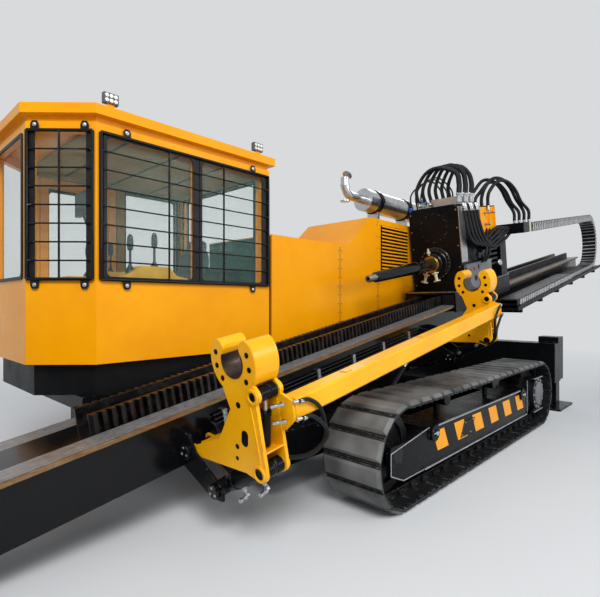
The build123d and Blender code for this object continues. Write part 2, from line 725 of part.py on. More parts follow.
def chain_tray():
    """Open trough beside the beam that carries the chain's lower run."""
    u = (CHAIN_BEND_U - CHAIN_HIGH_W / 2 - 600, CHAIN_FIXED_U + 60)
    floor_w = CHAIN_LOW_W - CHAIN_HEIGHT / 2 - SEAT_GAP
    floor = block(u, (CHAIN_V[0] - 30, CHAIN_V[1] + 30), (floor_w - 12, floor_w))
    lip = block(u, (CHAIN_V[1] + 18, CHAIN_V[1] + 30), (floor_w, floor_w + 50))
    pieces = [floor, lip]
    for i in range(6):
        x = CHAIN_FIXED_U - 100 - i * 1040
        pieces.append(block((x - 30, x + 30), (WEB_HALF, CHAIN_V[1] + 30), (floor_w - 62, floor_w - 12)))
    return join(pieces)


save_beam("main_beam", main_beam())
for word, side in SIDES:
    save_beam(f"rack_{word}", rack(side))
save_beam("vise_clamp", vise_clamp())
save_beam("vise_wrench", vise_wrench())
save("front_foot", front_foot())
save_beam("arm_brackets", arm_brackets())
save_beam("chain_tray", chain_tray())


# Energy chain: fixed lower run, moving upper run, and a bend that slides inside both
def chain_run(u, w):
    v = CHAIN_V
    half = CHAIN_HEIGHT / 2
    run = block(u, v, (w - half, w + half))
    hole = block((u[0] - 5, u[1] + 5), (v[0] + CHAIN_WALL, v[1] - CHAIN_WALL),
                 (w - half + CHAIN_WALL, w + half - CHAIN_WALL))
    return run - hole


def chain_bend():
    inset = CHAIN_WALL + CHAIN_GAP
    v = (CHAIN_V[0] + inset, CHAIN_V[1] - inset)
    thick = CHAIN_HEIGHT - 2 * inset
    middle = (CHAIN_LOW_W + CHAIN_HIGH_W) / 2
    radius = (CHAIN_HIGH_W - CHAIN_LOW_W) / 2
    front = CHAIN_BEND_U + CHAIN_OVERLAP + CHAIN_NEST
    at = (CHAIN_BEND_U, middle)
    outer = rod("Y", radius + thick / 2, v, at) - rod("Y", radius - thick / 2, v, at)
    outer -= block((CHAIN_BEND_U, CHAIN_BEND_U + 2 * radius), (v[0] - 5, v[1] + 5), (middle - 2 * radius, middle + 2 * radius))
    low = block((CHAIN_BEND_U, front), v, (CHAIN_LOW_W - thick / 2, CHAIN_LOW_W + thick / 2))
    high = block((CHAIN_BEND_U, front), v, (CHAIN_HIGH_W - thick / 2, CHAIN_HIGH_W + thick / 2))
    return join([outer, low, high])


save_beam("energy_chain_lower", chain_run((CHAIN_BEND_U + CHAIN_OVERLAP, CHAIN_FIXED_U), CHAIN_LOW_W))
save_beam("energy_chain_upper", chain_run((CHAIN_BEND_U, CHAIN_MOVING_U), CHAIN_HIGH_W))
save_beam("energy_chain_bend", chain_bend())


# Carriage: slides on the guide flanges, with gearbox, drive motors and spindle
def carriage_frame():
    lo, hi = CARRIAGE_U
    top = block(CARRIAGE_U, (-CARRIAGE_HALF, CARRIAGE_HALF), (RACK_HEIGHT + 15, GEARBOX_W[0]))
    pieces = [top]
    for side in (1, -1):
        cheek_v = mirror_y((CHEEK_IN, CARRIAGE_HALF), side)
        pieces.append(block(CARRIAGE_U, cheek_v, (-100, GEARBOX_W[0])))
        for u in (lo + 180, hi - 180):
            keeper = block((u - 120, u + 120), mirror_y((WEB_HALF + 10, CARRIAGE_HALF), side),
                           (-100, -GUIDE_THICK - SEAT_GAP))
            pieces.append(keeper)
            pad = block((u - 120, u + 120), mirror_y((GUIDE_HALF - 110, CHEEK_IN + 5), side), (SEAT_GAP, RACK_HEIGHT + 20))
            pieces.append(pad)
    return join(pieces)


def gearbox():
    lo, hi = GEARBOX_W
    half = CARRIAGE_HALF - 5
    case = plate("X", [(-half, lo), (half, lo), (half, hi - 60), (half - 60, hi), (-half + 60, hi), (-half, hi - 60)],
                 GEARBOX_U)
    nose = rod("X", 190, (GEARBOX_U[1], GEARBOX_U[1] + 90), (0, SPINDLE_W))
    bore = rod("X", COLLAR_R + SEAT_GAP, (GEARBOX_U[1] - 150, GEARBOX_U[1] + 95), (0, SPINDLE_W))
    cover = rod("X", 215, (GEARBOX_U[1], GEARBOX_U[1] + 12), (0, hi - 300))
    return case + nose + cover - bore


def drive_motors():
    pieces = []
    rear = GEARBOX_U[0]
    for v in (-190, 190):
        for w in (480, 1000):
            body = rod("X", 120, (rear - 260, rear), (v, w))
            pieces.append(body + rod("X", 95, (rear - 520, rear - 260), (v, w)))
    return group(pieces)


def spindle():
    """Hollow drive shaft with collars and a threaded nose."""
    shaft_end = SPINDLE_TIP - NOSE_LENGTH
    bars = ((COLLAR_R, GEARBOX_U[1] - 149.7, GEARBOX_U[1] + 150), (88, GEARBOX_U[1] + 150, GEARBOX_U[1] + 420),
            (74, GEARBOX_U[1] + 420, GEARBOX_U[1] + 760), (SPINDLE_R, GEARBOX_U[1] + 760, shaft_end),
            (NOSE_R, shaft_end, SPINDLE_TIP))
    return join([rod("X", r, (a, b), (0, SPINDLE_W)) for r, a, b in bars])


def valve_panel():
    u = (GEARBOX_U[0] - 420, GEARBOX_U[1] - 60)
    return block(u, (CARRIAGE_HALF, CARRIAGE_HALF + 40), (GEARBOX_W[0] - 40, 520))


def chain_post():
    """Upright with an arm that holds the chain's moving end."""
    u = (CARRIAGE_U[0], CARRIAGE_U[0] + 260)
    post = block(u, (-150, 360), (GEARBOX_W[0], CHAIN_HIGH_W + 90))
    arm = block(u, (360, CHAIN_V[1]), (CHAIN_HIGH_W - 75, CHAIN_HIGH_W + 90))
    clip = block((CHAIN_MOVING_U, u[0]), CHAIN_V, (CHAIN_HIGH_W - 75, CHAIN_HIGH_W + 75))
    return join([post, arm, clip])


def manifold():
    """Hose block on top of the gearbox."""
    lo = GEARBOX_W[1]
    return block((GEARBOX_U[0] - 120, GEARBOX_U[1] - 120), (-60, 330), (lo, lo + MANIFOLD_HEIGHT))


def hoses():
    """Arched hoses from the front of the gearbox back to its rear or onto the manifold."""
    tubes = []
    lo = GEARBOX_W[1]
    seat = lo + MANIFOLD_HEIGHT + SEAT_GAP
    u0 = GEARBOX_U[1] - 60
    for v, reach, rise, end in ((-300, 420, 300, lo), (-210, 440, 360, lo), (-120, 460, 420, lo), (230, 380, 330, seat)):
        top = lo + rise
        nip = 0.3 * reach
        path = Polyline((u0, v, lo), (u0, v, top - nip), (u0 - nip, v, top), (u0 - reach + nip, v, top),
                        (u0 - reach, v, top - nip), (u0 - reach, v, end))
        start = Plane(origin=(u0, v, lo), z_dir=(0, 0, 1))
        tubes.append(sweep(start * RegularPolygon(HOSE_R, 8), path=path, transition=Transition.RIGHT))
    return group(tubes)


save_beam("carriage_frame", carriage_frame())
save_beam("gearbox", gearbox())
save_beam("drive_motors", drive_motors())
save_beam("spindle", spindle())
save_beam("valve_panel", valve_panel())
save_beam("chain_post", chain_post())
save_beam("manifold", manifold())
save_beam("hoses", hoses())


# Pipe arms: two plates each, a cradle head open to the spindle's path, and a link beam between them
def arm(u):
    pv, pw = ARM_PIVOT
    hv, hw = ARM_HEAD
    ev, ew = ARM_PIN
    outline = [(pv - 30, pw - 55), (pv + 60, pw - 62), (ev - 130, ew - 5), (ev - 40, ew - 45), (ev + 50, ew - 30),
               (ev + 70, ew + 90), (ev + 75, hw - 190), (hv + 120, hw - 170), (hv - 120, hw - 170),
               (hv - 70, 110), (hv - 110, 20), (hv - 250, -90), (pv + 90, pw + 60), (pv - 10, pw + 62), (pv - 60, pw + 20)]
    mouth = [(0, 0)]
    for a in (40, 60, 80, 100, 120, 140, 155):
        mouth.append((2 * HEAD_R * cos(radians(a)), 2 * HEAD_R * sin(radians(a))))
    # The mouth's left lip runs along the path on which the spindle enters as the arm swings in.
    path_way = radians(148)
    side = SPINDLE_R + 22
    foot = (-side * sin(path_way), side * cos(path_way))
    mouth.append((foot[0] + 2 * HEAD_R * cos(path_way), foot[1] + 2 * HEAD_R * sin(path_way)))
    mouth.append(foot)
    pieces = []
    for way in (1, -1):
        span = ordered(u + way * (ARM_HALF - PLATE_THICK), u + way * ARM_HALF)
        sheet = plate("X", outline, span) + rod("X", HEAD_R, span, ARM_HEAD)
        for at, r in ((ARM_PIN, EYE_R), (ARM_PIVOT, EYE_R)):
            sheet += rod("X", r, span, at)
        sheet -= rod("X", ARM_PIN_R + SEAT_GAP, (span[0] - 5, span[1] + 5), ARM_PIVOT)
        pieces.append(sheet)
    inside = (u - ARM_HALF, u + ARM_HALF)
    pieces.append(rod("X", HEAD_R - 12, inside, ARM_HEAD))
    pieces.append(plate("X", [(hv - 120, hw - 150), (hv + 130, hw - 150), (hv + 110, 60), (hv - 60, 60)], inside))
    pieces.append(block(inside, (LINK_AT[0] - 140, LINK_AT[0] - LINK_SIZE / 2), (LINK_AT[1] - 40, LINK_AT[1] + 40)))
    whole = join(pieces)
    whole -= rod("X", HEAD_BORE, (u - ARM_HALF - 5, u + ARM_HALF + 5), ARM_HEAD)
    half = LINK_SIZE / 2
    whole -= block((u - ARM_HALF - 5, u + ARM_HALF + 5), (LINK_AT[0] - half, LINK_AT[0] + half),
                   (LINK_AT[1] - half, LINK_AT[1] + half))
    shifted = [(hv + v, hw + w) for v, w in mouth]
    whole -= plate("X", shifted, (u - ARM_HALF - 5, u + ARM_HALF + 5))
    return whole


def arm_link():
    u = (ARM_U[1] - 250, ARM_U[0] + 250)
    v, w = LINK_AT
    half = LINK_SIZE / 2
    return block(u, (v - half, v + half), (w - half, w + half))


def along(start, end, a, b, radius):
    """A round bar in the YZ plane at u = start[0], between lengths a and b on the way from start to end."""
    u, v0, w0 = start
    v1, w1 = end
    length = hypot(v1 - v0, w1 - w0)
    dv, dw = (v1 - v0) / length, (w1 - w0) / length
    lay = Plane(origin=(u, v0 + dv * a, w0 + dw * a), z_dir=(0, dv, dw))
    return Location(lay) * Cylinder(radius, b - a, align=(Align.CENTER, Align.CENTER, Align.MIN))


ARM_LENGTH = hypot(ARM_PIN[0] - ARM_BASE[0], ARM_PIN[1] - ARM_BASE[1])
BARREL_R = 60
ARM_ROD_R = 28
EYE_HALF = ARM_HALF - PLATE_THICK - SEAT_GAP


def arm_barrels():
    pieces = []
    for u in ARM_U:
        start = (u, *ARM_BASE)
        barrel = along(start, ARM_PIN, 30, ARM_LENGTH - 95, BARREL_R)
        reach = ARM_HALF + ARM_PLAY
        barrel += rod("X", 55, (u - reach, u + reach), ARM_BASE)
        for way in (1, -1):
            barrel -= rod("X", ARM_PIN_R + SEAT_GAP, ordered(u + way * 39, u + way * (reach + 1)), ARM_BASE)
        barrel -= along(start, ARM_PIN, 80, ARM_LENGTH, ARM_ROD_R + SEAT_GAP)
        pieces.append(barrel)
    return group(pieces)


def arm_rods():
    pieces = []
    for u in ARM_U:
        start = (u, *ARM_BASE)
        bar = along(start, ARM_PIN, 90, ARM_LENGTH - 20, ARM_ROD_R)
        pieces.append(bar + rod("X", 42, (u - EYE_HALF, u + EYE_HALF), ARM_PIN))
    return group(pieces)


save_beam("arm_front", arm(ARM_U[0]))
save_beam("arm_rear", arm(ARM_U[1]))
save_beam("arm_link", arm_link())
save_beam("arm_barrels", arm_barrels())
save_beam("arm_rods", arm_rods())


# Lift cylinders between the chassis rails and the beam
def lift_head():
    t = radians(TILT)
    return (PIVOT_X + LIFT_HEAD_U * cos(t) + LIFT_HEAD_W * sin(t),
            GUIDE_Z - LIFT_HEAD_U * sin(t) + LIFT_HEAD_W * cos(t))


def lift_bar(y, a, b, radius):
    x0, z0 = LIFT_BASE
    x1, z1 = lift_head()
    length = hypot(x1 - x0, z1 - z0)
    dx, dz = (x1 - x0) / length, (z1 - z0) / length
    lay = Plane(origin=(x0 + dx * a, y, z0 + dz * a), z_dir=(dx, 0, dz))
    return Location(lay) * Cylinder(radius, b - a, align=(Align.CENTER, Align.CENTER, Align.MIN))


def lift_length():
    x1, z1 = lift_head()
    return hypot(x1 - LIFT_BASE[0], z1 - LIFT_BASE[1])


def lift_barrels():
    pieces = []
    for side in (1, -1):
        y = LIFT_Y * side
        eye = ordered(y - LIFT_EYE_HALF, y + LIFT_EYE_HALF)
        barrel = lift_bar(y, 40, LIFT_BARREL, LIFT_EYE_HALF) + rod("Y", 45, eye, LIFT_BASE)
        barrel -= rod("Y", LIFT_PIN_R + SEAT_GAP, eye, LIFT_BASE)
        pieces.append(barrel - lift_bar(y, 100, LIFT_BARREL + 10, LIFT_ROD_R + SEAT_GAP))
    return group(pieces)


def lift_rods():
    pieces = []
    for side in (1, -1):
        y = LIFT_Y * side
        eye = ordered(y - LIFT_EYE_HALF, y + LIFT_EYE_HALF)
        pieces.append(lift_bar(y, 170, lift_length(), LIFT_ROD_R) + rod("Y", 42, eye, lift_head()))
    return group(pieces)


save("lift_barrels", lift_barrels())
save("lift_rods", lift_rods())
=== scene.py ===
# Looks of the horizontal directional drill, in metres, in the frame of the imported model.
# +X is the drilling direction, +Y the pipe side, +Z up, ground at Z = 0.
from math import cos, hypot, pi, radians, sin, sqrt

import bmesh
import bpy
from mathutils import Matrix, Vector

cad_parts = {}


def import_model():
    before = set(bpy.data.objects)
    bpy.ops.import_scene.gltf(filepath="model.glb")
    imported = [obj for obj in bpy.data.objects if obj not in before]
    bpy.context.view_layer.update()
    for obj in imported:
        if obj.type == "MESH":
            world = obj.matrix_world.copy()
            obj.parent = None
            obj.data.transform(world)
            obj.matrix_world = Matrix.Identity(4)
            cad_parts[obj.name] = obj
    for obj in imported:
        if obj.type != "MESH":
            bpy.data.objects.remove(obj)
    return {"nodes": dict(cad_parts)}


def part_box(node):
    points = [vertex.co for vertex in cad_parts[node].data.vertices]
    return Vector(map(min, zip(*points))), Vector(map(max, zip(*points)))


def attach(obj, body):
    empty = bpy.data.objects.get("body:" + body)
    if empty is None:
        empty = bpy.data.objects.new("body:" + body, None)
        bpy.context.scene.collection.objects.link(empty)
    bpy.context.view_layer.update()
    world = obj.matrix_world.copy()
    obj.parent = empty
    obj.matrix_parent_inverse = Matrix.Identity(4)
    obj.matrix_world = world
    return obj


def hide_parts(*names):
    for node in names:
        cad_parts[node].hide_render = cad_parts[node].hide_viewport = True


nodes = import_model()["nodes"]
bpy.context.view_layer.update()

# Beam frame: u forward along the beam, v = Y, w up from its guide face
TILT = radians(9.7)
BEAM = Matrix.Translation((1.9, 0, 1.038)) @ Matrix.Rotation(TILT, 4, "Y")
UPRIGHT_BODIES = ("chassis", "door")

# Display colours, 0 to 255
AMBER = (248, 165, 0)
ARM_YELLOW = (255, 186, 0)
BLACK = (11, 12, 14)
DEEP_BLACK = (6, 7, 9)
DUST = (96, 88, 76)
STEEL = (150, 148, 144)
BACKGROUND = (216, 218, 220)
SKY = (228, 234, 240)


def linear(colour):
    """Scene-linear RGBA of a display colour."""
    parts = [c / 255 for c in colour]
    return tuple(c / 12.92 if c <= 0.04045 else ((c + 0.055) / 1.055) ** 2.4 for c in parts) + (1.0,)


# Materials
class Graph:
    """A node material under construction, around one principled shader."""

    def __init__(self, name):
        self.material = bpy.data.materials.new(name)
        self.material.use_nodes = True
        self.tree = self.material.node_tree
        self.place = self.node("TexCoord").outputs["Object"]

    def feed(self, node, values):
        """Gives a node's inputs their values or their links."""
        for key, value in values.items():
            if isinstance(value, bpy.types.NodeSocket):
                self.tree.links.new(value, node.inputs[key])
            else:
                node.inputs[key].default_value = value

    def node(self, kind, values=(), **settings):
        made = self.tree.nodes.new("ShaderNode" + kind)
        for key, value in settings.items():
            setattr(made, key, value)
        self.feed(made, dict(values))
        return made

    def set(self, **values):
        self.feed(self.tree.nodes["Principled BSDF"], {key.replace("_", " "): v for key, v in values.items()})

    def noise(self, scale, detail=4.0, roughness=0.6, stretch=None):
        vector = self.place
        if stretch:
            vector = self.node("Mapping", {"Vector": vector, "Scale": stretch}).outputs[0]
        values = {"Vector": vector, "Scale": scale, "Detail": detail, "Roughness": roughness}
        return self.node("TexNoise", values).outputs["Fac"]

    def remap(self, value, low, high, to_low=0.0, to_high=1.0):
        values = {"Value": value, "From Min": low, "From Max": high, "To Min": to_low, "To Max": to_high}
        return self.node("MapRange", values).outputs["Result"]

    def math(self, operation, a, b):
        return self.node("Math", {0: a, 1: b}, operation=operation).outputs[0]

    def mix(self, factor, a, b):
        a, b = (c if isinstance(c, bpy.types.NodeSocket) else linear(c) for c in (a, b))
        return self.node("Mix", {"Factor": factor, "A": a, "B": b}, data_type="RGBA").outputs["Result"]

    def rounded(self, radius):
        """A normal that rounds the edges of the mesh off."""
        return self.node("Bevel", {"Radius": radius}, samples=4).outputs["Normal"]

    def edges(self, radius):
        """1 on edges of the mesh within radius, 0 on flat faces."""
        normal = self.node("NewGeometry").outputs["Normal"]
        dot = self.node("VectorMath", {0: self.rounded(radius), 1: normal}, operation="DOT_PRODUCT")
        return self.remap(self.math("SUBTRACT", 1.0, dot.outputs["Value"]), 0.0, 0.12)

    def bump(self, height, distance, strength, round_off=0.0):
        values = {"Height": height, "Distance": distance, "Strength": strength}
        if round_off:
            values["Normal"] = self.rounded(round_off)
        return self.node("Bump", values).outputs["Normal"]


def paint(name, colour, shade, roughness, coat=0.0, dust=0.0, chips=0.0, chip_colour=STEEL,
          shine=0.3, round_off=0.004):
    """Sprayed paint: faint mottling, orange peel, dust low down and chipped edges."""
    g = Graph(name)
    tone = g.mix(g.remap(g.noise(1.7, 3), 0.35, 0.7), colour, shade)
    if dust:
        height = g.node("SeparateXYZ", {0: g.place}).outputs["Z"]
        low = g.remap(height, 0.2, 1.6, 1.0, 0.25)
        grime = g.math("MULTIPLY", g.remap(g.noise(9.0, 8, 0.7), 0.48, 0.78, 0.0, dust), low)
        tone = g.mix(grime, tone, DUST)
    if chips:
        worn = g.math("MULTIPLY", g.edges(0.006), g.remap(g.noise(26.0, 5), 0.62 - 0.2 * chips, 0.72))
        tone = g.mix(worn, tone, chip_colour)
    rough = g.remap(g.noise(5.0, 6), 0.3, 0.75, roughness - 0.05, roughness + 0.09)
    g.set(Base_Color=tone, Roughness=rough, Normal=g.bump(g.noise(160.0, 2), 0.0004, 0.35, round_off))
    g.set(Coat_Weight=coat, Coat_Roughness=0.12, Specular_IOR_Level=shine)
    return g.material


def metal(name, colour, shade, roughness, stain=None, stain_amount=0.0, brushed=None, bare=1.0):
    """Bare metal with directional scratches and stains."""
    g = Graph(name)
    tone = g.mix(g.remap(g.noise(7.0, 6, 0.7, brushed), 0.3, 0.7), colour, shade)
    metallic = bare
    if stain:
        amount = g.remap(g.noise(11.0, 8, 0.75), 0.5 - 0.25 * stain_amount, 0.72)
        tone = g.mix(amount, tone, stain)
        metallic = g.remap(amount, 0.0, 1.0, bare, 0.25 * bare)
    scratches = g.noise(90.0, 3, 0.6, brushed or (1, 1, 1))
    rough = g.remap(scratches, 0.3, 0.7, roughness - 0.06, roughness + 0.1)
    g.set(Base_Color=tone, Metallic=metallic, Roughness=rough, Normal=g.bump(scratches, 0.0003, 0.4, 0.003))
    return g.material


def rubber(name, colour):
    g = Graph(name)
    tone = g.mix(g.remap(g.noise(14.0, 6), 0.4, 0.75), colour, (28, 28, 30))
    g.set(Base_Color=tone, Roughness=0.45, Specular_IOR_Level=0.22,
          Normal=g.bump(g.noise(220.0, 2), 0.0004, 0.5))
    return g.material


def clear_glass(name):
    """Thin greenish window glass that stays see-through."""
    g = Graph(name)
    g.set(Base_Color=linear((150, 196, 184)), Roughness=0.02, IOR=1.3, Transmission_Weight=0.0,
          Alpha=g.remap(g.noise(0.8, 2), 0.3, 0.7, 0.05, 0.11))
    g.material.surface_render_method = "BLENDED"
    return g.material


def fabric(name, colour):
    """Diagonally woven cloth."""
    g = Graph(name)
    threads = g.node("TexWave", {"Vector": g.place, "Scale": 90.0, "Distortion": 1.5},
                     wave_type="BANDS", bands_direction="DIAGONAL")
    tone = g.mix(g.remap(g.noise(30.0, 5), 0.35, 0.7), colour, (58, 58, 60))
    g.set(Base_Color=tone, Roughness=0.85, Sheen_Weight=0.3,
          Normal=g.bump(threads.outputs["Fac"], 0.0006, 0.5))
    return g.material


def plastic(name, colour, roughness=0.45):
    g = Graph(name)
    tone = g.mix(g.remap(g.noise(4.0, 4), 0.35, 0.7), colour, tuple(int(c * 0.82) for c in colour))
    g.set(Base_Color=tone, Roughness=roughness, Normal=g.bump(g.noise(400.0, 2), 0.0003, 0.5, 0.004))
    return g.material


ALONG = (1, 14, 14)
M = {
    "amber": paint("amber_enamel", AMBER, (240, 153, 0), 0.3, 0.08, 0.04, shine=0.16, round_off=0.006),
    "amber_worn": paint("amber_worn", ARM_YELLOW, (246, 166, 0), 0.32, 0.15, 0.12, 0.5, (110, 70, 30)),
    "black": paint("black_enamel", BLACK, (16, 17, 20), 0.26, 0.05, 0.02, 0.5, shine=0.08),
    "black_flat": paint("black_flat", (10, 11, 13), (18, 19, 21), 0.45, 0, 0.06, 0.3, shine=0.15),
    "gloss_black": paint("gloss_black", DEEP_BLACK, (11, 12, 15), 0.18, 0.12, 0.01, 0.3, shine=0.2),
    "case": paint("case_black", (15, 14, 15), (26, 23, 22), 0.28, 0.25, 0.06, 0.4, shine=0.25),
    "track": paint("track_steel", (20, 21, 23), (26, 27, 29), 0.4, 0, 0.12, 0.9, (140, 138, 134), 0.2),
    # The pale second tone (120, 121, 120) of the pads is partly worn rubber and partly a painted highlight:
    # the brightness of the lit top run, mixed in at random.
    "pad": paint("shoe_pad", (50, 51, 52), (120, 121, 120), 0.4, 0, 0.15, 0.9, (24, 24, 26)),
    "grey": paint("grey_enamel", (112, 116, 118), (78, 80, 84), 0.42, 0, 0.2, 0.4),
    "rack": metal("rack_steel", (62, 60, 60), (34, 32, 33), 0.38, (58, 44, 34), 0.1),
    "guide": metal("guide_steel", (168, 167, 168), (88, 87, 88), 0.34, (96, 74, 58), 0.1, ALONG, 0.3),
    "guide_edge": metal("guide_edge", (176, 150, 108), (120, 92, 62), 0.4, (112, 72, 40), 0.4, ALONG),
    "liner": metal("cradle_liner", (104, 88, 78), (62, 52, 47), 0.36, (52, 36, 26), 0.3),
    "dark_bolt": metal("dark_bolt", (40, 37, 36), (26, 25, 25), 0.4),
    "steel": metal("bare_steel", STEEL, (120, 116, 110), 0.36),
    "bright": metal("bright_steel", (205, 207, 208), (164, 166, 168), 0.3),
    "chain": metal("chain_link", (208, 208, 208), (164, 164, 166), 0.4),
    "chrome": metal("polished_chrome", (206, 208, 210), (170, 171, 173), 0.26),
    "brass": metal("brass", (196, 158, 88), (164, 124, 60), 0.3),
    "rubber": rubber("hose_rubber", (14, 15, 17)),
    "glass": clear_glass("window_glass"),
    "fabric": fabric("seat_fabric", (58, 64, 66)),
    "plastic": plastic("dark_plastic", (24, 26, 28)),
    "console": plastic("console_yellow", (240, 186, 10), 0.5),
    "lining": plastic("cab_lining", (176, 132, 62), 0.7),
    "red": plastic("red_knob", (196, 30, 24), 0.35),
    "blue": plastic("blue_cap", (30, 84, 168), 0.35),
    "lamp": plastic("lamp_lens", (232, 234, 230), 0.12),
    "cream": plastic("cream_knob", (222, 212, 178), 0.35),
}
# The part's colour slot that each finish belongs to
SLOTS = {
    "amber_paint": ("amber", "amber_worn"),
    "black_paint": ("black", "black_flat", "case", "dark_bolt"),
    "gloss_black": ("gloss_black",),
    "grey_paint": ("grey",),
    "track_steel": ("track",),
    "rack_steel": ("guide", "guide_edge", "liner"),
    "bright_steel": ("steel", "bright", "chain", "brass"),
    "hose_rubber": ("rubber", "pad"),
    "console_plastic": ("plastic", "console", "lining", "red", "blue", "cream"),
    "lamp_glass": ("lamp",),
    "seat_fabric": ("fabric",),
}
SLOT_OF = {finish: slot for slot, finishes in SLOTS.items() for finish in finishes}


# Meshes
SHARP = 35


def lay(axis, p, t):
    """A point of an outline in the plane across an axis, at t along it."""
    return {"X": (t, *p), "Y": (p[0], t, p[1]), "Z": (*p, t)}[axis]


def off(face, way, near, far):
    """The stretch from near to far off a face, in rising order."""
    return tuple(sorted((face + way * near, face + way * far)))


def rims(length, radius, step, cut):
    """Profile of a disc whose two rims are cut back."""
    return [(0, radius - cut), (step, radius), (length - step, radius), (length, radius - cut)]


def into_piece(mesh, name, finish, body, over, sharp=None):
    """A finished object of a mesh, riding on its body."""
    data = bpy.data.meshes.new(name)
    mesh.to_mesh(data)
    mesh.free()
    data.shade_smooth()
    if sharp:
        data.set_sharp_from_angle(angle=radians(sharp))
    piece = bpy.data.objects.new(name, data)
    bpy.context.scene.collection.objects.link(piece)
    data.materials.append(M[finish])
    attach(piece, body)
    if over:
        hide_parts(*over)
    return piece


class Shape:
    """One piece under construction, from simple forms in the frame of its body."""

    made = []

    def __init__(self, name, body, finish, round_off=0.0, over=None, slot=None):
        self.mesh = bmesh.new()
        self.name, self.body, self.finish, self.round_off = name, body, finish, round_off
        self.over = [over] if over else []
        self.slot = slot or SLOT_OF[finish]
        Shape.made.append(self)

    def faces(self, points, faces):
        verts = [self.mesh.verts.new(p) for p in points]
        for face in faces:
            self.mesh.faces.new([verts[i] for i in face])
        return self

    def ring(self, centre, across, other, radius, sides):
        turns = [2 * pi * i / sides for i in range(sides)]
        return [self.mesh.verts.new(centre + (across * cos(a) + other * sin(a)) * radius) for a in turns]

    def skin(self, rings):
        """Faces between rings of vertices, and a cap at each end."""
        for low, high in zip(rings, rings[1:]):
            for i in range(len(low)):
                j = (i + 1) % len(low)
                self.mesh.faces.new((low[i], low[j], high[j], high[i]))
        self.mesh.faces.new(rings[0][::-1])
        self.mesh.faces.new(rings[-1])
        return self

    def prism(self, axis, outline, span):
        """An outline in the plane across an axis, thickened over span."""
        n = len(outline)
        points = [lay(axis, p, t) for t in span for p in outline]
        sides = [(i, (i + 1) % n, (i + 1) % n + n, i + n) for i in range(n)]
        return self.faces(points, [tuple(range(n)), tuple(range(2 * n - 1, n - 1, -1))] + sides)

    def box(self, x, y, z):
        return self.prism("Z", [(x[0], y[0]), (x[1], y[0]), (x[1], y[1]), (x[0], y[1])], z)

    def lathe(self, start, way, profile, sides=24):
        """A round form about an axis, from (length along it, radius) pairs."""
        start, way = Vector(start), Vector(way).normalized()
        across = way.orthogonal().normalized()
        other = way.cross(across)
        return self.skin([self.ring(start + way * length, across, other, radius, sides)
                          for length, radius in profile])

    def band(self, axis, outer, inner, span):
        """A flat ring between two outlines of as many points, thickened over span."""
        n = len(outer)
        faces = []
        for i in range(n):
            j = (i + 1) % n
            for low, high in ((0, n), (n, 3 * n), (3 * n, 2 * n), (2 * n, 0)):
                faces.append((i + low, j + low, j + high, i + high))
        return self.faces([lay(axis, p, t) for t in span for ring in (outer, inner) for p in ring], faces)

    def rod(self, start, end, radius, sides=16):
        """A round bar between two points, its rims nipped off a little."""
        start, end = Vector(start), Vector(end)
        length = (end - start).length
        nip = min(radius, length) * 0.12
        return self.lathe(start, end - start, rims(length, radius, nip, nip), sides)

    def bolt(self, at, way, radius):
        """A hexagon head on its washer."""
        height = radius * 0.8
        foot = height * 0.25
        self.lathe(at, way, [(0, radius * 1.35), (foot, radius * 1.35)], 12)
        return self.lathe(at, way, [(foot, radius), (height * 0.85, radius), (height, radius * 0.8)], 6)

    def tube(self, points, radius, sides=10):
        """A round tube through points, turned with its path; radius may be one for each point."""
        points = [Vector(p) for p in points]
        radii = radius if isinstance(radius, list) else [radius] * len(points)
        ways = [(b - a).normalized() for a, b in zip(points[:1] + points[:-1], points[1:] + points[-1:])]
        across = ways[0].orthogonal().normalized()
        rings = []
        for point, way, thick in zip(points, ways, radii):
            across = (across - way * across.dot(way)).normalized()
            rings.append(self.ring(point, across, way.cross(across), thick, sides))
        return self.skin(rings)

    def close(self):
        """Rounds the edges off, and places the piece on its body."""
        if self.round_off:
            sharp = [e for e in self.mesh.edges if e.is_manifold and e.calc_face_angle(0) > radians(30)]
            bmesh.ops.bevel(self.mesh, geom=sharp, offset=self.round_off, segments=2, profile=0.5,
                            affect="EDGES", clamp_overlap=True)
        bmesh.ops.recalc_face_normals(self.mesh, faces=self.mesh.faces)
        if self.body not in UPRIGHT_BODIES:
            bmesh.ops.transform(self.mesh, matrix=BEAM, verts=self.mesh.verts)
        into_piece(self.mesh, self.name, self.finish, self.body, self.over, SHARP)


def shapes(body, word="", **pieces):
    """Pieces of one body. Each has a finish, and may have a rounding, the node it replaces and a slot."""
    tail = f"_{word}" if word else ""
    return [Shape(name + tail, body, *((look,) if isinstance(look, str) else look))
            for name, look in pieces.items()]


def dress(material, *names):
    """Gives CAD nodes a finish."""
    for name in names:
        nodes[name].data.materials.clear()
        nodes[name].data.materials.append(M[material])


# Paths and outlines
def smooth_path(points, steps=8):
    """Points along a smooth curve that passes through the given ones."""
    points = [Vector(p) for p in points]
    ends = [2 * points[0] - points[1]] + points + [2 * points[-1] - points[-2]]
    path = []
    for a, b, c, d in zip(ends, ends[1:], ends[2:], ends[3:]):
        for i in range(steps):
            t = i / steps
            path.append(0.5 * (2 * b + (c - a) * t + (2 * a - 5 * b + 4 * c - d) * t * t
                               + (3 * b - a - 3 * c + d) * t * t * t))
    return path + [points[-1]]


def arc(centre, radius, first, last, steps):
    """Points of an arc, angles in degrees."""
    angles = [radians(first + (last - first) * i / steps) for i in range(steps + 1)]
    return [(centre[0] + radius * cos(a), centre[1] + radius * sin(a)) for a in angles]


def circle(centre, radius, count, first=0):
    """Points evenly round a circle."""
    return arc(centre, radius, first, first + 360, count)[:-1]


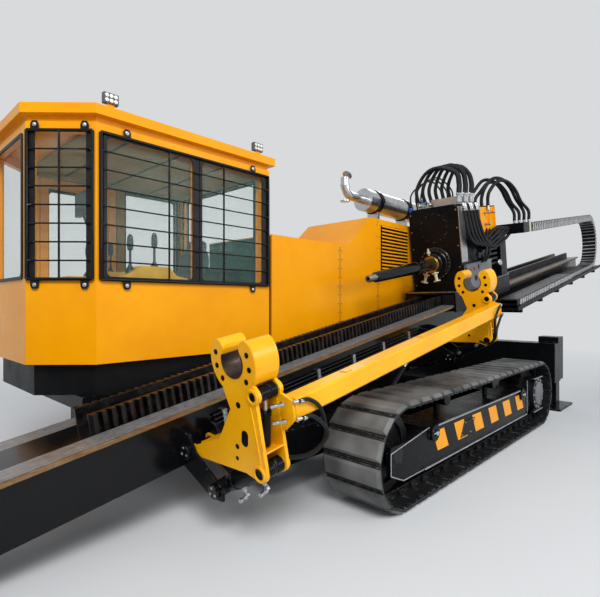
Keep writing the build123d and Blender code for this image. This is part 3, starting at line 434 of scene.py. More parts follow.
def wrapped_hose(shape, points, radius=0.027, pitch=0.016):
    """A hose in a spiral guard, whose ridges stand round it."""
    path = smooth_path(points, 24)
    length = sum((b - a).length for a, b in zip(path, path[1:]))
    step = length / (2 * max(2, int(length / pitch)))
    even = [path[0]]
    covered, target = 0.0, step
    for a, b in zip(path, path[1:]):
        gap = (b - a).length
        while gap and covered + gap >= target:
            even.append(a.lerp(b, (target - covered) / gap))
            target += step
        covered += gap
    return shape.tube(even, [radius * (1.0 if i % 2 else 0.88) for i in range(len(even))])


def crimp(shape, at, way, radius, length):
    """A crimped hose fitting with its nut."""
    neck = radius * 0.72
    sleeve = [(0, radius * 0.7), (0.004, radius), (length * 0.62, radius), (length * 0.66, neck),
              (length, neck)]
    shape.lathe(at, way, sleeve, 14)
    nut = Vector(at) + Vector(way).normalized() * length
    return shape.lathe(nut, way, rims(0.026, radius * 1.15, 0.004, radius * 0.1), 6)


# Tracks
WHEEL_X = 1.685
TRACK_Z = 0.4185
LOOP_R = 0.384
SHOE_COUNT = 48
PAD_RISE = 0.0345
TRACK_MID = 1.077
SHOE_HALF = 0.268
FRAME_OUT = 1.247
FRAME_Z = (0.2, 0.538)
TOW_X, TOW_Z = 1.13, 0.4785
DRIVE_OUT = 1.285
NOSE_OUTLINE = [(1.3, 0.2005), (1.62, 0.2005), (1.8, 0.28), (1.8, 0.45), (1.3, 0.53)]


def loop_frame(s):
    """Place of the track's outer line at length s: point, tangent and outward direction."""
    straight = 2 * WHEEL_X
    half, s = divmod(s, straight + pi * LOOP_R)
    way = -1 if half else 1
    a = max(0.0, s - straight) / LOOP_R - pi / 2
    nx, nz = way * cos(a), way * sin(a)
    x = way * (min(s, straight) - WHEEL_X)
    return (x + LOOP_R * nx, TRACK_Z + LOOP_R * nz), (-nz, nx), (nx, nz)


def track(side, word):
    """Rubber-faced shoes on steel plates, on a chain of links with pins."""
    pads, plates, links = shapes(
        "chassis", word, track_pads=("pad", 0.005), track_plates=("track", 0.0015, f"track_{word}"),
        track_links=("track", 0.002))
    pitch = 2 * (2 * WHEEL_X + pi * LOOP_R) / SHOE_COUNT
    half = pitch / 2

    def slab(shape, s, along, across, out, draw=0.0, taper=0.0):
        """A block on the loop; its outer face is shorter by draw and narrower by taper at each end."""
        (x, z), (tx, tz), (nx, nz) = loop_frame(s)
        points = []
        for level, less, thin in ((out[0], 0.0, 0.0), (out[1], draw, taper)):
            (a, b), (c, d) = (along[0] + less, along[1] - less), (across[0] + thin, across[1] - thin)
            for t, v in ((a, c), (b, c), (b, d), (a, d)):
                points.append((x + tx * t + nx * level, side * (TRACK_MID + v), z + tz * t + nz * level))
        shape.faces(points,
                    [(3, 2, 1, 0), (4, 5, 6, 7), (0, 1, 5, 4), (1, 2, 6, 5), (2, 3, 7, 6), (3, 0, 4, 7)])

    def wide(less):
        return -SHOE_HALF + less, SHOE_HALF - less

    for i in range(SHOE_COUNT):
        s = (i + 0.5) * pitch
        rise = PAD_RISE if abs(loop_frame(s)[1][1]) < 1e-6 else PAD_RISE - 0.006
        slab(pads, s, (-half + 0.02, half - 0.02), wide(0), (0.006, rise), 0.018, 0.03)
        slab(plates, s, (-half + 0.004, half - 0.010), wide(0.006), (-0.012, 0.006), 0.002)
        slab(plates, s, (half - 0.02, half + 0.006), wide(0.012), (-0.022, -0.004))
        for v in (-0.24, -0.084, 0.084, 0.24):
            slab(plates, s, (-0.022, 0.022), (v - 0.012, v + 0.012), (-0.022, -0.011), 0.004, 0.004)
        for v in (-0.075, 0.075):
            slab(links, s, (-half - 0.012, half - 0.014), (v - 0.014, v + 0.014), (-0.064, -0.012), 0.012)
            v *= 1.36
            slab(links, s, (half - 0.05, half + 0.022), (v - 0.012, v + 0.012), (-0.058, -0.012), 0.008)


def track_trim(side, word):
    """Edge bars, hazard stripes, roller hubs, tow pins and the final drive cover on a side frame."""
    stripes, edge, patch, hubs, pins, cover, nose = shapes(
        "chassis", word, hazard_stripes="amber", frame_edges=("bright", 0.002), stripe_patch=("black", 0.002),
        roller_hubs="gloss_black", tow_pins="bright", drive_cover="grey", frame_nose=("black", 0.003))
    y = side * FRAME_OUT
    out = (0, side, 0)
    low, high = FRAME_Z
    for i in range(6):
        x = 0.93 - 0.41 * i
        stripe = [(x - 0.1, 0.3), (x + 0.11, 0.3), (x + 0.2, 0.48), (x - 0.01, 0.48)]
        stripes.prism("Y", stripe, off(y, side, 0, 0.0015))
    patch.prism("Y", [(0.34, 0.315), (0.58, 0.315), (0.5, 0.455), (0.26, 0.455)], off(y, side, 0.0015, 0.007))
    for x, z in ((0.36, 0.33), (0.55, 0.33), (0.3, 0.44), (0.48, 0.44)):
        pins.bolt((x, y + side * 0.006, z), out, 0.006)
    edge.box((-1.3, 1.3), off(y, side, -0.001, 0.019), (low, low + 0.014))
    edge.box((-1.06, 1.06), off(y, side, -0.001, 0.019), (high - 0.014, high))
    for x in (-TOW_X, TOW_X):
        pins.rod((x, y + side * 0.004, TOW_Z), (x, y + side * 0.05, TOW_Z), 0.02)
        pins.rod((x - 0.05, y + side * 0.036, TOW_Z), (x + 0.05, y + side * 0.036, TOW_Z), 0.007, 10)
    hub = [(0, 0.062), (0.008, 0.066), (0.014, 0.066), (0.02, 0.045), (0.034, 0.042), (0.038, 0.03)]
    for i in range(9):
        for way in (-1, 1):
            at = (1.237 * (i / 4 - 1), side * (TRACK_MID + 0.062 * way), TRACK_Z - 0.238)
            hubs.lathe(at, (0, way, 0), hub, 20)
    nose.prism("Y", NOSE_OUTLINE, off(y, side, -0.04, -0.001))
    for (x0, z0), (x1, z1) in zip(NOSE_OUTLINE[:4], NOSE_OUTLINE[1:4] + [(1.2, 0.535)]):
        edge.rod((x0, y + side * 0.002, z0), (x1, y + side * 0.002, z1), 0.006, 8)
    edge.box((-1.345, -1.335), off(y, side, -0.001, 0.012), (0.22, 0.62))
    drive = side * DRIVE_OUT
    cover.lathe((-WHEEL_X, drive, TRACK_Z), out, [(0, 0.15), (0.01, 0.15), (0.016, 0.14), (0.02, 0.13)], 40)
    for x, z in circle((-WHEEL_X, TRACK_Z), 0.178, 12):
        pins.bolt((x, drive, z), out, 0.011)
    for z in (TRACK_Z - 0.22, TRACK_Z + 0.2):
        edge.box((-1.83, -1.49), off(drive, side, -0.02, 0.012), (z, z + 0.012))


# Pipe arms
ARM_U = (1.065, -2.375)
ARM_HEAD = (0.997, 0.415)
ARM_PIVOT = (0.38, -0.27)
ARM_PIN = (1.12, -0.25)
ARM_BASE = (0.664, -0.48)
ARM_BOSS = (1.15, 0.225)
ARM_HALF = 0.095
HEAD_R = 0.205
HEAD_BORE = 0.1
LINK_AT = (1.225, 0.105)
LINK_HALF = 0.065
SHEET = 0.024
EYE = 0.058
MOUTH = (32, 148)


def arm_trim(u, word):
    """Cradle liner and shell, bolts, pins, rollers and the clamp's small cylinder of one arm."""
    liner, shell, dark, roller, pins, ribs = shapes(
        "arms", word, cradle_liner=("liner", 0.001), cradle_shell=("amber_worn", 0.002),
        arm_bolts="dark_bolt", arm_rollers="black", arm_pins="bright", arm_bosses="amber_worn")
    hv, hw = ARM_HEAD
    for shape, outer, inner, first, last, steps, wide in (
            (liner, HEAD_BORE + 0.0005, HEAD_BORE - 0.007, 156, 384, 30, ARM_HALF + 0.004),
            (shell, HEAD_R + 0.004, HEAD_R - 0.014, -34, 33, 24, ARM_HALF - 0.004)):
        curve = arc(ARM_HEAD, outer, first, last, steps) + arc(ARM_HEAD, inner, first, last, steps)[::-1]
        shape.prism("X", curve, (u - wide, u + wide))
    for side in (1, -1):
        face = u + side * ARM_HALF
        out = (side, 0, 0)
        for turn in (160, 192, 224, 20, -12, -44):
            v, w = arc(ARM_HEAD, 0.155, turn, turn, 1)[0]
            dark.lathe((face, v, w), out, [(0, 0.017), (0.0025, 0.017), (0.003, 0.0145)], 16)
        for v, w, r in ((hv + 0.005, hw - 0.262, 0.02), (hv - 0.06, -0.12, 0.017),
                        (ARM_PIN[0] - 0.2, -0.2, 0.014)):
            dark.lathe((face, v, w), out, [(0, r), (0.002, r), (0.0025, r - 0.003)], 20)
        slot = arc((hv + 0.03, -0.03), 0.03, 0, 180, 8) + arc((hv + 0.02, -0.075), 0.03, 180, 360, 8)
        dark.prism("X", slot, off(face, side, 0, 0.0015))
        for at, r in ((ARM_PIN, 0.034), (ARM_BOSS, 0.027)):
            cap = [(0, r), (0.006, r), (0.008, r - 0.004), (0.004, r * 0.5), (0.0045, r * 0.3)]
            dark.lathe((face, *at), out, cap, 24)
            ring = [(0, r + 0.02), (0.009, r + 0.02), (0.012, r + 0.016), (0.012, r + 0.004),
                    (0.002, r + 0.002)]
            ribs.lathe((face, *at), out, ring, 28)
        pins.bolt((face, ARM_PIVOT[0] + 0.09, ARM_PIVOT[1] - 0.03), out, 0.009)
    for at, r in ((ARM_PIN, 0.05), (ARM_BOSS, 0.047)):
        waist = [(0.05, r), (0.056, r - 0.006), (0.074, r - 0.006), (0.08, r)]
        profile = [(0, r - 0.004), (0.004, r), *waist, (0.126, r), (0.13, r - 0.004)]
        roller.lathe((u - 0.065, *at), (1, 0, 0), profile, 28)
    # Weld beads where the sheets meet the cross plates
    for face in (u + ARM_HALF, u - ARM_HALF):
        bead = [(face, v, w) for v, w in ((1.115, 0.16), (1.128, 0.02), (1.14, -0.14), (1.14, -0.22))]
        ribs.tube(smooth_path(bead, 5), 0.006, 8)
    # Small cylinder from the upper boss down to the neck
    foot, boss = Vector((u, 1.085, -0.12)), Vector((u, *ARM_BOSS))
    way = (boss - foot).normalized()
    barrel = [(0.0, 0.02), (0.01, 0.034), (0.2, 0.034), (0.205, 0.038), (0.23, 0.038), (0.235, 0.02)]
    roller.lathe(foot, way, barrel, 24)
    pins.rod(foot + way * 0.23, boss, 0.016)


def arm_link_trim():
    """Hoses at the ends of the square link, and its welds."""
    hose, ends, weld = shapes("arms", arm_hoses="rubber", arm_hose_ends="bright", link_welds="amber_worn")
    v, w = LINK_AT
    front, rear = ARM_U[0] - ARM_HALF, ARM_U[1] + ARM_HALF
    for u in (front - 0.002, rear - 0.002):
        for z in (w - 0.068, w + 0.068):
            weld.tube([(u, v - 0.07, z), (u, v + 0.07, z)], 0.006, 8)
        for y in (v - 0.068, v + 0.068):
            weld.tube([(u, y, w - 0.066), (u, y, w + 0.066)], 0.006, 8)
    for u, way in ((front, -1), (rear, 1)):
        for lift, out in ((0.07, 0.0), (-0.03, 0.012)):
            start, mid, end = (Vector((u + way * a, b, c + lift)) for a, b, c in
                               ((-0.1, 1.185, 0.07), (-0.02, 1.295 + out, 0.09), (0.1, 1.312 + out, 0.07)))
            crimp(ends, start, mid - start, 0.013, 0.06)
            crimp(ends, mid, end - mid, 0.013, 0.05)
            rest = [(u + way * a, b, c) for a, b, c in
                    ((0.2, 1.305 + out, lift - 0.03), (0.22, 1.29 + out, -0.15),
                     (0.14, 1.2 + out, -0.25), (0.02, 1.05, -0.26))]
            hose.tube(smooth_path([mid + (end - mid).normalized() * 0.04, end] + rest), 0.0125)


def arm_foot_trim(u, word):
    """Covers with bolts on the bracket cheeks, and the fittings of the swing cylinder."""
    covers, bolts = shapes("beam", word, foot_covers="gloss_black", foot_bolts="bright")
    ends, ports = shapes("arm_barrel", word, barrel_ports="bright", barrel_bands="black")
    for side in (1, -1):
        face = u + side * (ARM_HALF + 0.045)
        for at, r in ((ARM_BASE, 0.05), (ARM_PIVOT, 0.055)):
            covers.lathe((face, *at), (side, 0, 0), [(-0.02, r), (0.008, r), (0.011, r - 0.004)], 28)
            for v, w in circle(at, 0.6 * r, 3, 90):
                bolts.bolt((face + side * 0.01, v, w), (side, 0, 0), 0.008)
    way, across = Vector((0, 0.8929, 0.4504)), Vector((0, 0.4504, -0.8929))
    base = Vector((u, *ARM_BASE))
    for along in (0.13, 0.37):
        at = base + way * along
        if word == "front":
            crimp(ends, at + across * 0.055, across + way * 0.15, 0.016, 0.04)
            crimp(ends, at + across * 0.12, Vector((0.8, 0, 0)) + way * 0.2, 0.014, 0.05)
        else:
            crimp(ends, at + Vector((0.055, 0, 0)), (1, 0, 0), 0.016, 0.04)
    for along in (0.09, 0.4):
        ports.lathe(base + way * along, way, rims(0.025, 0.064, 0.003, 0.004), 32)


def lip(which):
    """Rounded end of the cradle on one side of its mouth."""
    turn = MOUTH[which]
    centre = arc(ARM_HEAD, (HEAD_R + HEAD_BORE) / 2, turn, turn, 1)[0]
    first = turn if which else turn + 180
    return arc(centre, (HEAD_R - HEAD_BORE) / 2, first, first - 180, 8)


def arm_outline():
    """Side of a pipe arm: cradle with its open mouth, neck, and the eyes of pin and pivot."""
    (hv, hw), (ev, ew), (pv, pw) = ARM_HEAD, ARM_PIN, ARM_PIVOT
    return (arc(ARM_HEAD, HEAD_R, MOUTH[0], -38, 12) + arc(ARM_BOSS, 0.05, 55, -70, 8)
            + [(hv + 0.17, hw - 0.26), (ev + EYE, ew + 0.05)] + arc(ARM_PIN, EYE, 10, -100, 8)
            + [(ev - 0.13, ew - 0.03), (pv + 0.1, pw - 0.03)] + arc(ARM_PIVOT, EYE, -80, -225, 10)
            + [(pv + 0.05, pw + 0.035), (hv - 0.24, -0.105), (hv - 0.08, hw - 0.3)]
            + arc(ARM_HEAD, HEAD_R, 232, MOUTH[1], 12) + lip(1)[1:-1]
            + arc(ARM_HEAD, HEAD_BORE, MOUTH[1], MOUTH[0] + 360, 32) + lip(0)[1:-1])


def run_of_plates(shape, points, thick, span):
    """Flat plates along a line of (v, w) points, their inner faces thick to the left of it."""
    for (a, b), (c, d) in zip(points, points[1:]):
        length = hypot(c - a, d - b)
        nv, nw = -(d - b) / length * thick, (c - a) / length * thick
        shape.prism("X", [(a, b), (c, d), (c + nv, d + nw), (a + nv, b + nw)], span)


def arm_sheets():
    """Both arms as two cut sheets with plates between them, and the square link."""
    (hv, hw), (ev, ew), (pv, pw) = ARM_HEAD, ARM_PIN, ARM_PIVOT
    runs = [arc(ARM_HEAD, HEAD_BORE + 0.012, MOUTH[1], MOUTH[0] + 360, 32),
            arc(ARM_HEAD, HEAD_R, MOUTH[0], -38, 10)[::-1],
            arc(ARM_HEAD, HEAD_R, MOUTH[1], 232, 10), lip(0)[::-1], lip(1)[::-1],
            [(pv + 0.11, pw - 0.028), (ev - 0.34, pw - 0.022)],
            [(hv - 0.085, hw - 0.3), (hv - 0.24, -0.107), (pv + 0.11, -0.2)]]
    neck = [(ev + 0.05, ew + 0.13), (ev - 0.1, ew + 0.1), (hv - 0.02, hw - 0.24)]
    tab = [(1.12, 0.2), (1.2, 0.2), (1.288, 0.165), (1.288, 0.045), (1.2, -0.03), (1.12, -0.03)]
    for u, word, way in zip(ARM_U, ("front", "rear"), (-1, 1)):
        arm, = shapes("arms", word, pipe_arm=("amber_worn", 0, f"arm_{word}"))
        for side in (1, -1):
            arm.prism("X", arm_outline(), off(u, side, ARM_HALF, ARM_HALF - SHEET))
        inside = (u - ARM_HALF + SHEET, u + ARM_HALF - SHEET)
        for run in runs:
            run_of_plates(arm, run, 0.012, inside)
        run_of_plates(arm, neck, 0.01, inside)
        arm.prism("X", tab, off(u, way, ARM_HALF - 0.003, ARM_HALF - SHEET + 0.003))
    link, = shapes("arms", arm_tube=("amber_worn", 0.002, "arm_link"))
    v, w = LINK_AT
    r, c = LINK_HALF, LINK_HALF - 0.012
    corners = ((-r, -c), (-c, -r), (c, -r), (r, -c), (r, c), (c, r), (-c, r), (-r, c))
    square = [(v + a, w + b) for a, b in corners]
    link.prism("X", square, (ARM_U[1] + ARM_HALF - 0.003, ARM_U[0] - ARM_HALF + 0.003))
    for u in (-1.7, -0.65, 0.4):
        link.box((u - 0.03, u + 0.03), (v - 0.03, v + 0.03), (w + LINK_HALF, w + LINK_HALF + 0.008))


# Beam
GUIDE_HALF = 0.355
RACK_OUT = 0.165
BEAM_SPAN = (-10.2, 3.5)
PIPE_V = 0.318


def guide_trim():
    """Worn running strips on the guide plate, its machined edges, and bolts along the racks."""
    strips, edges, bolts = shapes(
        "beam", guide_strips="guide", guide_edges="guide_edge", rack_bolts="dark_bolt")
    u0, u1 = BEAM_SPAN
    for side in (1, -1):
        strips.box((u0 + 0.1, u1 - 0.02), off(0, side, RACK_OUT + 0.006, GUIDE_HALF - 0.004), (0.0, 0.0002))
        edges.box((u0 + 0.02, u1 - 0.02), off(0, side, GUIDE_HALF, GUIDE_HALF + 0.0006), (-0.031, -0.001))
        for i in range(58):
            at = (-9.9 + i * 0.2, side * 0.128, 0.13)
            bolts.lathe(at, (0, 0, 1), [(-0.004, 0.013), (0.0004, 0.013), (0.0005, 0.009)], 8)


def beam_pipes():
    """Steel oil pipes along the side of the beam between the arms, with their clamps."""
    pipes, clamps = shapes("beam", beam_pipes="gloss_black", pipe_clamps=("bright", 0.002))
    for w in (-0.13, -0.165, -0.2):
        pipes.rod((-2.2, PIPE_V, w), (0.9, PIPE_V, w), 0.011, 12)
    for i in range(6):
        u = -1.95 + 0.55 * i
        clamps.box((u - 0.02, u + 0.02), (0.3, 0.334), (-0.22, -0.11))
        for w in (-0.147, -0.183):
            clamps.bolt((u, 0.334, w), (0, 1, 0), 0.006)


# Energy chain
CHAIN_V = (0.43, 0.74)
CHAIN_LOW = -0.225
CHAIN_HIGH = 0.925
CHAIN_HALF = 0.075
CHAIN_BEND = -9.75
CHAIN_FRONT_LOW, CHAIN_FRONT_HIGH = -4.5, -5.29
LINK_STEP = 0.1


def chain_links(shape, spots, v, tall=0.068, thick=0.006):
    """Chevron ribs on the outer side of the side plates; spots hold (u, w, turn)."""
    hexagon = [(0.03 + 0.011 * cos(t), 0.011 * sin(t)) for t in (0, 1.05, 2.09, 3.14, 4.19, 5.24)]
    for side, way in ((v[0], -1), (v[1], 1)):
        for u, w, turn in spots:
            def turned(outline):
                return [(u + a * cos(turn) - b * sin(turn), w + a * sin(turn) + b * cos(turn))
                        for a, b in outline]
            for top in (tall, -tall):
                rib = [(-0.028, 0.0), (0.03, 0.0), (0.0, top), (-0.058, top)]
                shape.prism("Y", turned(rib), off(side, way, 0, thick))
            shape.prism("Y", turned(hexagon), off(side, way, 0, thick * 0.7))


def energy_chain():
    """Link ribs along the three stretches, dark covers between their bars, and the end bracket."""
    low, dark_low = shapes("beam", chain_links_lower="chain", chain_cover_lower="black_flat")
    high, dark_high, bracket = shapes(
        "carriage", chain_links_upper="chain", chain_cover_upper="black_flat",
        chain_bracket=("cream", 0.004, None, "bright_steel"))
    bend, dark_bend = shapes("chain_loop", chain_links_bend="chain", chain_cover_bend="black_flat")
    overlap = CHAIN_BEND + 2.0
    inner = (CHAIN_V[0] + 0.018, CHAIN_V[1] - 0.018)
    inset = (CHAIN_V[0] + 0.0168, CHAIN_V[1] - 0.0168)
    covered = (inset[0] + 0.016, inset[1] - 0.016)
    middle, radius = (CHAIN_LOW + CHAIN_HIGH) / 2, (CHAIN_HIGH - CHAIN_LOW) / 2
    top = CHAIN_LOW + CHAIN_HALF
    lower = [overlap + i * LINK_STEP for i in range(int((CHAIN_FRONT_LOW - overlap) / LINK_STEP))]
    chain_links(low, [(u, CHAIN_LOW, 0.0) for u in lower], CHAIN_V)
    for u in lower:
        low.box((u, u + 0.022), inner, (top - 0.012, top + 0.001))
    chain_links(high, [(CHAIN_BEND + 0.07 + i * LINK_STEP, CHAIN_HIGH, pi)
                       for i in range(int((CHAIN_FRONT_HIGH - CHAIN_BEND) / LINK_STEP) - 1)], CHAIN_V)
    count = int(pi * radius / LINK_STEP)
    turns = [pi / 2 + pi * i / count for i in range(1, count)]
    spots = [(CHAIN_BEND + radius * cos(a), middle + radius * sin(a), a + pi / 2) for a in turns]
    chain_links(bend, spots, inset, 0.058)
    for w, turn in ((CHAIN_LOW, 0.0), (CHAIN_HIGH, pi)):
        reach = [(CHAIN_BEND + 0.02 + i * LINK_STEP, w, turn) for i in range(20)]
        chain_links(bend, reach, inset, 0.058, 0.0006)
        dark_bend.box((CHAIN_BEND, CHAIN_BEND + 2.2), covered, (w - 0.018, w + 0.018))
    ring = arc((CHAIN_BEND, middle), radius + 0.018, 90, 270, 40)
    dark_bend.prism("Y", ring + arc((CHAIN_BEND, middle), radius - 0.018, 90, 270, 40)[::-1], covered)
    step = LINK_STEP / radius
    for i in range(int(pi / step) + 1):
        a = pi / 2 + i * step
        rung = ((radius - 0.076, a), (radius - 0.076, a + 0.035), (radius - 0.06, a + 0.035),
                (radius - 0.06, a))
        bend.prism("Y", [(CHAIN_BEND + r * cos(b), middle + r * sin(b)) for r, b in rung], inset)
    dark_low.box((overlap + 0.01, CHAIN_FRONT_LOW - 0.01), inner, (CHAIN_LOW - 0.016, CHAIN_LOW + 0.016))
    dark_high.box((CHAIN_BEND + 0.01, CHAIN_FRONT_HIGH - 0.01), inner,
                  (CHAIN_HIGH - 0.016, CHAIN_HIGH + 0.016))
    bracket.box((CHAIN_FRONT_HIGH - 0.05, CHAIN_FRONT_HIGH + 0.03), (CHAIN_V[0] - 0.004, CHAIN_V[1] + 0.006),
                (0.85, 1.0))


# Hood and exhaust
HOOD_FRONT = 1.46
HOOD_IN, HOOD_OUT = -0.45, -1.6
STEP_BACK = -0.365
LOUVRE_X = (-1.36, -0.62)
LOUVRE_Z = (2.06, 2.7)
LOUVRE_ROWS = 13
HOOD_SEAMS = (0.295, -0.551, -1.66, -2.14)
EXHAUST_Y = -0.8
SILENCER_Z = 3.12
PIPE_X = -0.255


def hood_trim():
    """Louvres, door seams, screws and latches on both sides of the engine hood, and black sheets of painted
    shade behind the louvres and in the gap between hood and cab.
    """
    slats, dark, screws = shapes(
        "chassis", hood_louvres=("amber", 0, "louvre_panels"), hood_seams="black", hood_screws="steel")
    (x0, x1), (z0, z1) = LOUVRE_X, LOUVRE_Z
    step = (z1 - z0) / LOUVRE_ROWS
    screw = [(0, 0.009), (0.003, 0.009), (0.005, 0.006)]
    slat = [(0.0005, 0.4), (0.008, 0.25), (0.012, -0.1), (0.0105, -0.1), (0.006, 0.2), (0.0005, 0.3)]
    for face, way in ((HOOD_IN, 1), (HOOD_OUT, -1)):
        seam = off(face, way, 0, 0.0012)
        # A black sheet on the hood face behind the slats: painted shade in the openings of the louvres.
        dark.box((x0 + 0.012, x1 - 0.012), off(face, way, 0, 0.001), (z0 + 0.01, z1 - 0.01))
        for i in range(LOUVRE_ROWS):
            profile = [(face + way * out, z0 + (i + 0.5 + up) * step) for out, up in slat]
            slats.prism("X", profile, (x0 + 0.02, x1 - 0.02))
        slats.box((x1 + 0.005, -0.425), off(face, way, -0.004, 0.002), (z0 - 0.01, z1 + 0.01))
        for x in HOOD_SEAMS:
            low, high = 1.32, 2.31 if x > STEP_BACK else 2.74
            dark.box((x - 0.004, x + 0.004), seam, (low, high))
            for i in range(9):
                z = low + 0.05 + (high - low - 0.1) * i / 8
                for dx in (-0.03, 0.03):
                    screws.lathe((x + dx, face, z), (0, way, 0), screw, 10)
        dark.box((HOOD_SEAMS[3], HOOD_SEAMS[2]), seam, (1.896, 1.904))
        for x in (HOOD_SEAMS[2] - 0.08, HOOD_SEAMS[3] + 0.08):
            screws.box((x - 0.022, x + 0.022), off(face, way, 0, 0.008), (1.5, 1.56))
            screws.box((x - 0.016, x + 0.016), off(face, way, 0.008, 0.011), (1.505, 1.535))
    # A black block filling the gap between the hood's front and the cab: painted shade in that gap.
    dark.box((HOOD_FRONT + 0.002, CAB_X[0] - 0.002), (-1.55, HOOD_IN - 0.02), (1.13, 2.32))


def exhaust_trim():
    """Clamp bands of the silencer and of its pipe."""
    band, pipe = shapes("chassis", silencer_bands="black", pipe_bands="bright")
    for x in (-1.79, -0.99):
        band.lathe((x, EXHAUST_Y, SILENCER_Z), (1, 0, 0), rims(0.08, 0.179, 0.002, 0.009), 48)
        lug = (SILENCER_Z - 0.03, SILENCER_Z + 0.03)
        band.box((x + 0.02, x + 0.06), (EXHAUST_Y + 0.17, EXHAUST_Y + 0.2), lug)
    for z in (3.02, 3.24):
        pipe.lathe((PIPE_X, EXHAUST_Y, z), (0, 0, 1), rims(0.022, 0.067, 0.002, 0.005), 32)


# Power head on the carriage
HEAD_FRONT = -3.43
HEAD_TOP = 1.38
HEAD_SIDE = 0.38
SPINDLE_W = 0.57
COVER_W = 1.08
PORT_FACE = 0.425


def power_head():
    """Covers, bolts and valves on the gear case, and the bearing nose round the spindle."""
    cover, bolts, nose, brass, knobs, strip, caps, valve = shapes(
        "carriage", gear_cover="case", gear_bolts="steel", bearing_nose="case", seal_rings="brass",
        grease_knobs="cream", case_strip=("bright", 0.003), breather_caps="blue",
        valve_blocks=("bright", 0.003))
    front, ahead, up = HEAD_FRONT, (1, 0, 0), (0, 0, 1)
    disc = [(0, 0.215), (0.008, 0.215), (0.011, 0.208), (0.011, 0.196), (0.006, 0.19), (0.006, 0.03)]
    cover.lathe((front, 0.0, COVER_W), ahead, disc, 48)
    for v, w in circle((0, COVER_W), 0.2, 12):
        bolts.bolt((front + 0.008, v, w), ahead, 0.006)
    for v in (-0.35, 0.35):
        for w in (0.25, 0.5, 0.8, 1.05, 1.3):
            bolts.bolt((front, v, w), ahead, 0.009)
    steps = [(0, 0.235), (0.03, 0.235), (0.036, 0.228), (0.036, 0.2), (0.07, 0.2), (0.076, 0.192),
             (0.076, 0.15), (0.12, 0.15), (0.126, 0.142), (0.126, 0.112)]
    nose.lathe((front, 0.0, SPINDLE_W), ahead, steps, 48)
    for v, w in circle((0, SPINDLE_W), 0.218, 24):
        nose.lathe((front + 0.034, v, w), ahead, [(0, 0.016), (0.02, 0.016), (0.024, 0.011)], 8)
    for out, r in ((0.15, 0.119), (0.18, 0.117)):
        brass.lathe((front + out, 0.0, SPINDLE_W), ahead, rims(0.015, r, 0.003, 0.003), 40)
    knob = [(-0.05, 0.012), (0.0, 0.014), (0.003, 0.05), (0.014, 0.052), (0.02, 0.03), (0.06, 0.02),
            (0.11, 0.022), (0.114, 0.05), (0.128, 0.052), (0.134, 0.04)]
    knobs.lathe((-3.27, 0.05, 0.45), (0.1, 0.25, -1.0), knob)
    knobs.lathe((-3.25, -0.07, 0.44), (0.1, -0.3, -1.0), knob)
    pin = [(0, 0.016), (0.03, 0.018), (0.034, 0.028), (0.05, 0.028), (0.056, 0.014), (0.1, 0.012)]
    knobs.lathe((-3.31, -0.04, 0.7), (0.2, 0, 1), pin, 16)
    plate = [(0.004, 0.56), (0.2, 0.56), (0.2, 0.7), (0.15, 1.34), (0.004, 1.34)]
    strip.prism("Y", [(front - a, w) for a, w in plate], (HEAD_SIDE - 0.003, HEAD_SIDE + 0.012))
    for w in (0.62, 0.86, 1.1, 1.28):
        bolts.bolt((front - 0.06, HEAD_SIDE + 0.011, w), (0, 1, 0), 0.008)
    cap = [(0, 0.03), (0.06, 0.032), (0.1, 0.032), (0.11, 0.022)]
    caps.lathe((front - 0.04, -0.35, HEAD_TOP - 0.07), up, cap, 18)
    # Valve blocks with their coils on the top left
    for u, v, top in ((-3.53, -0.2, 0.08), (-3.6, -0.07, 0.08), (-3.66, -0.24, 0.1)):
        valve.box((u - 0.05, u + 0.05), (v - 0.045, v + 0.045), (HEAD_TOP, HEAD_TOP + top))
        coil = [(0, 0.022), (0.05, 0.022), (0.055, 0.015), (0.07, 0.012)]
        valve.lathe((u + 0.05, v, HEAD_TOP + 0.045), ahead, coil, 16)
        caps.lathe((u, v, HEAD_TOP + top), up, [(0, 0.02), (0.01, 0.024), (0.035, 0.024), (0.04, 0.018)], 16)


def spindle():
    """Tapered drive shaft: collar, long taper and a bored threaded nose."""
    shaft, nose = shapes("spindle_body", spindle_shaft=("gloss_black", 0, "spindle"), spindle_nose="steel")
    profile = [(-3.58, 0.1), (-3.575, 0.1075), (-3.28, 0.1075), (-3.275, 0.088), (-2.9, 0.084), (-2.89, 0.09),
               (-2.8, 0.09), (-2.79, 0.082), (-2.62, 0.08), (-2.6, 0.076), (-1.86, 0.066), (-1.83, 0.058)]
    shaft.lathe((0, 0, SPINDLE_W), (1, 0, 0), profile, 40)
    tip = [(-1.83, 0.05), (-1.82, 0.0445)]
    for i in range(11):
        start = -1.815 + i * 0.011
        tip += [(start, 0.0448), (start + 0.004, 0.0448), (start + 0.006, 0.0415), (start + 0.009, 0.0415)]
    tip += [(-1.692, 0.042), (-1.69, 0.04), (-1.69, 0.026), (-1.76, 0.02)]
    nose.lathe((0, 0, SPINDLE_W), (1, 0, 0), tip, 36)


def valve_plate():
    """Grey valve cover with three round ports, two red knobs and a switch."""
    ports, knobs, switch, bolts = shapes(
        "carriage", valve_ports="black", valve_knobs="red", valve_switch=("black", 0.002),
        valve_bolts="steel")
    face, out = PORT_FACE, (0, 1, 0)
    for u in (-3.5, -3.78, -4.06):
        ports.lathe((u, face, 0.3), out,
                    [(0, 0.04), (0.004, 0.042), (0.008, 0.038), (0.004, 0.03), (0.002, 0.01)])
    for u in (-3.6, -3.74):
        knobs.lathe((u, face, 0.44), out, [(0, 0.014), (0.012, 0.016), (0.02, 0.012)], 16)
    switch.box((-3.5, -3.44), (face, face + 0.012), (0.42, 0.47))
    switch.box((-3.91, -3.89), (face, face + 0.008), (0.42, 0.48))
    for u in (-3.51, -4.05, -4.41):
        for w in (0.19, 0.5):
            bolts.bolt((u, face, w), out, 0.008)


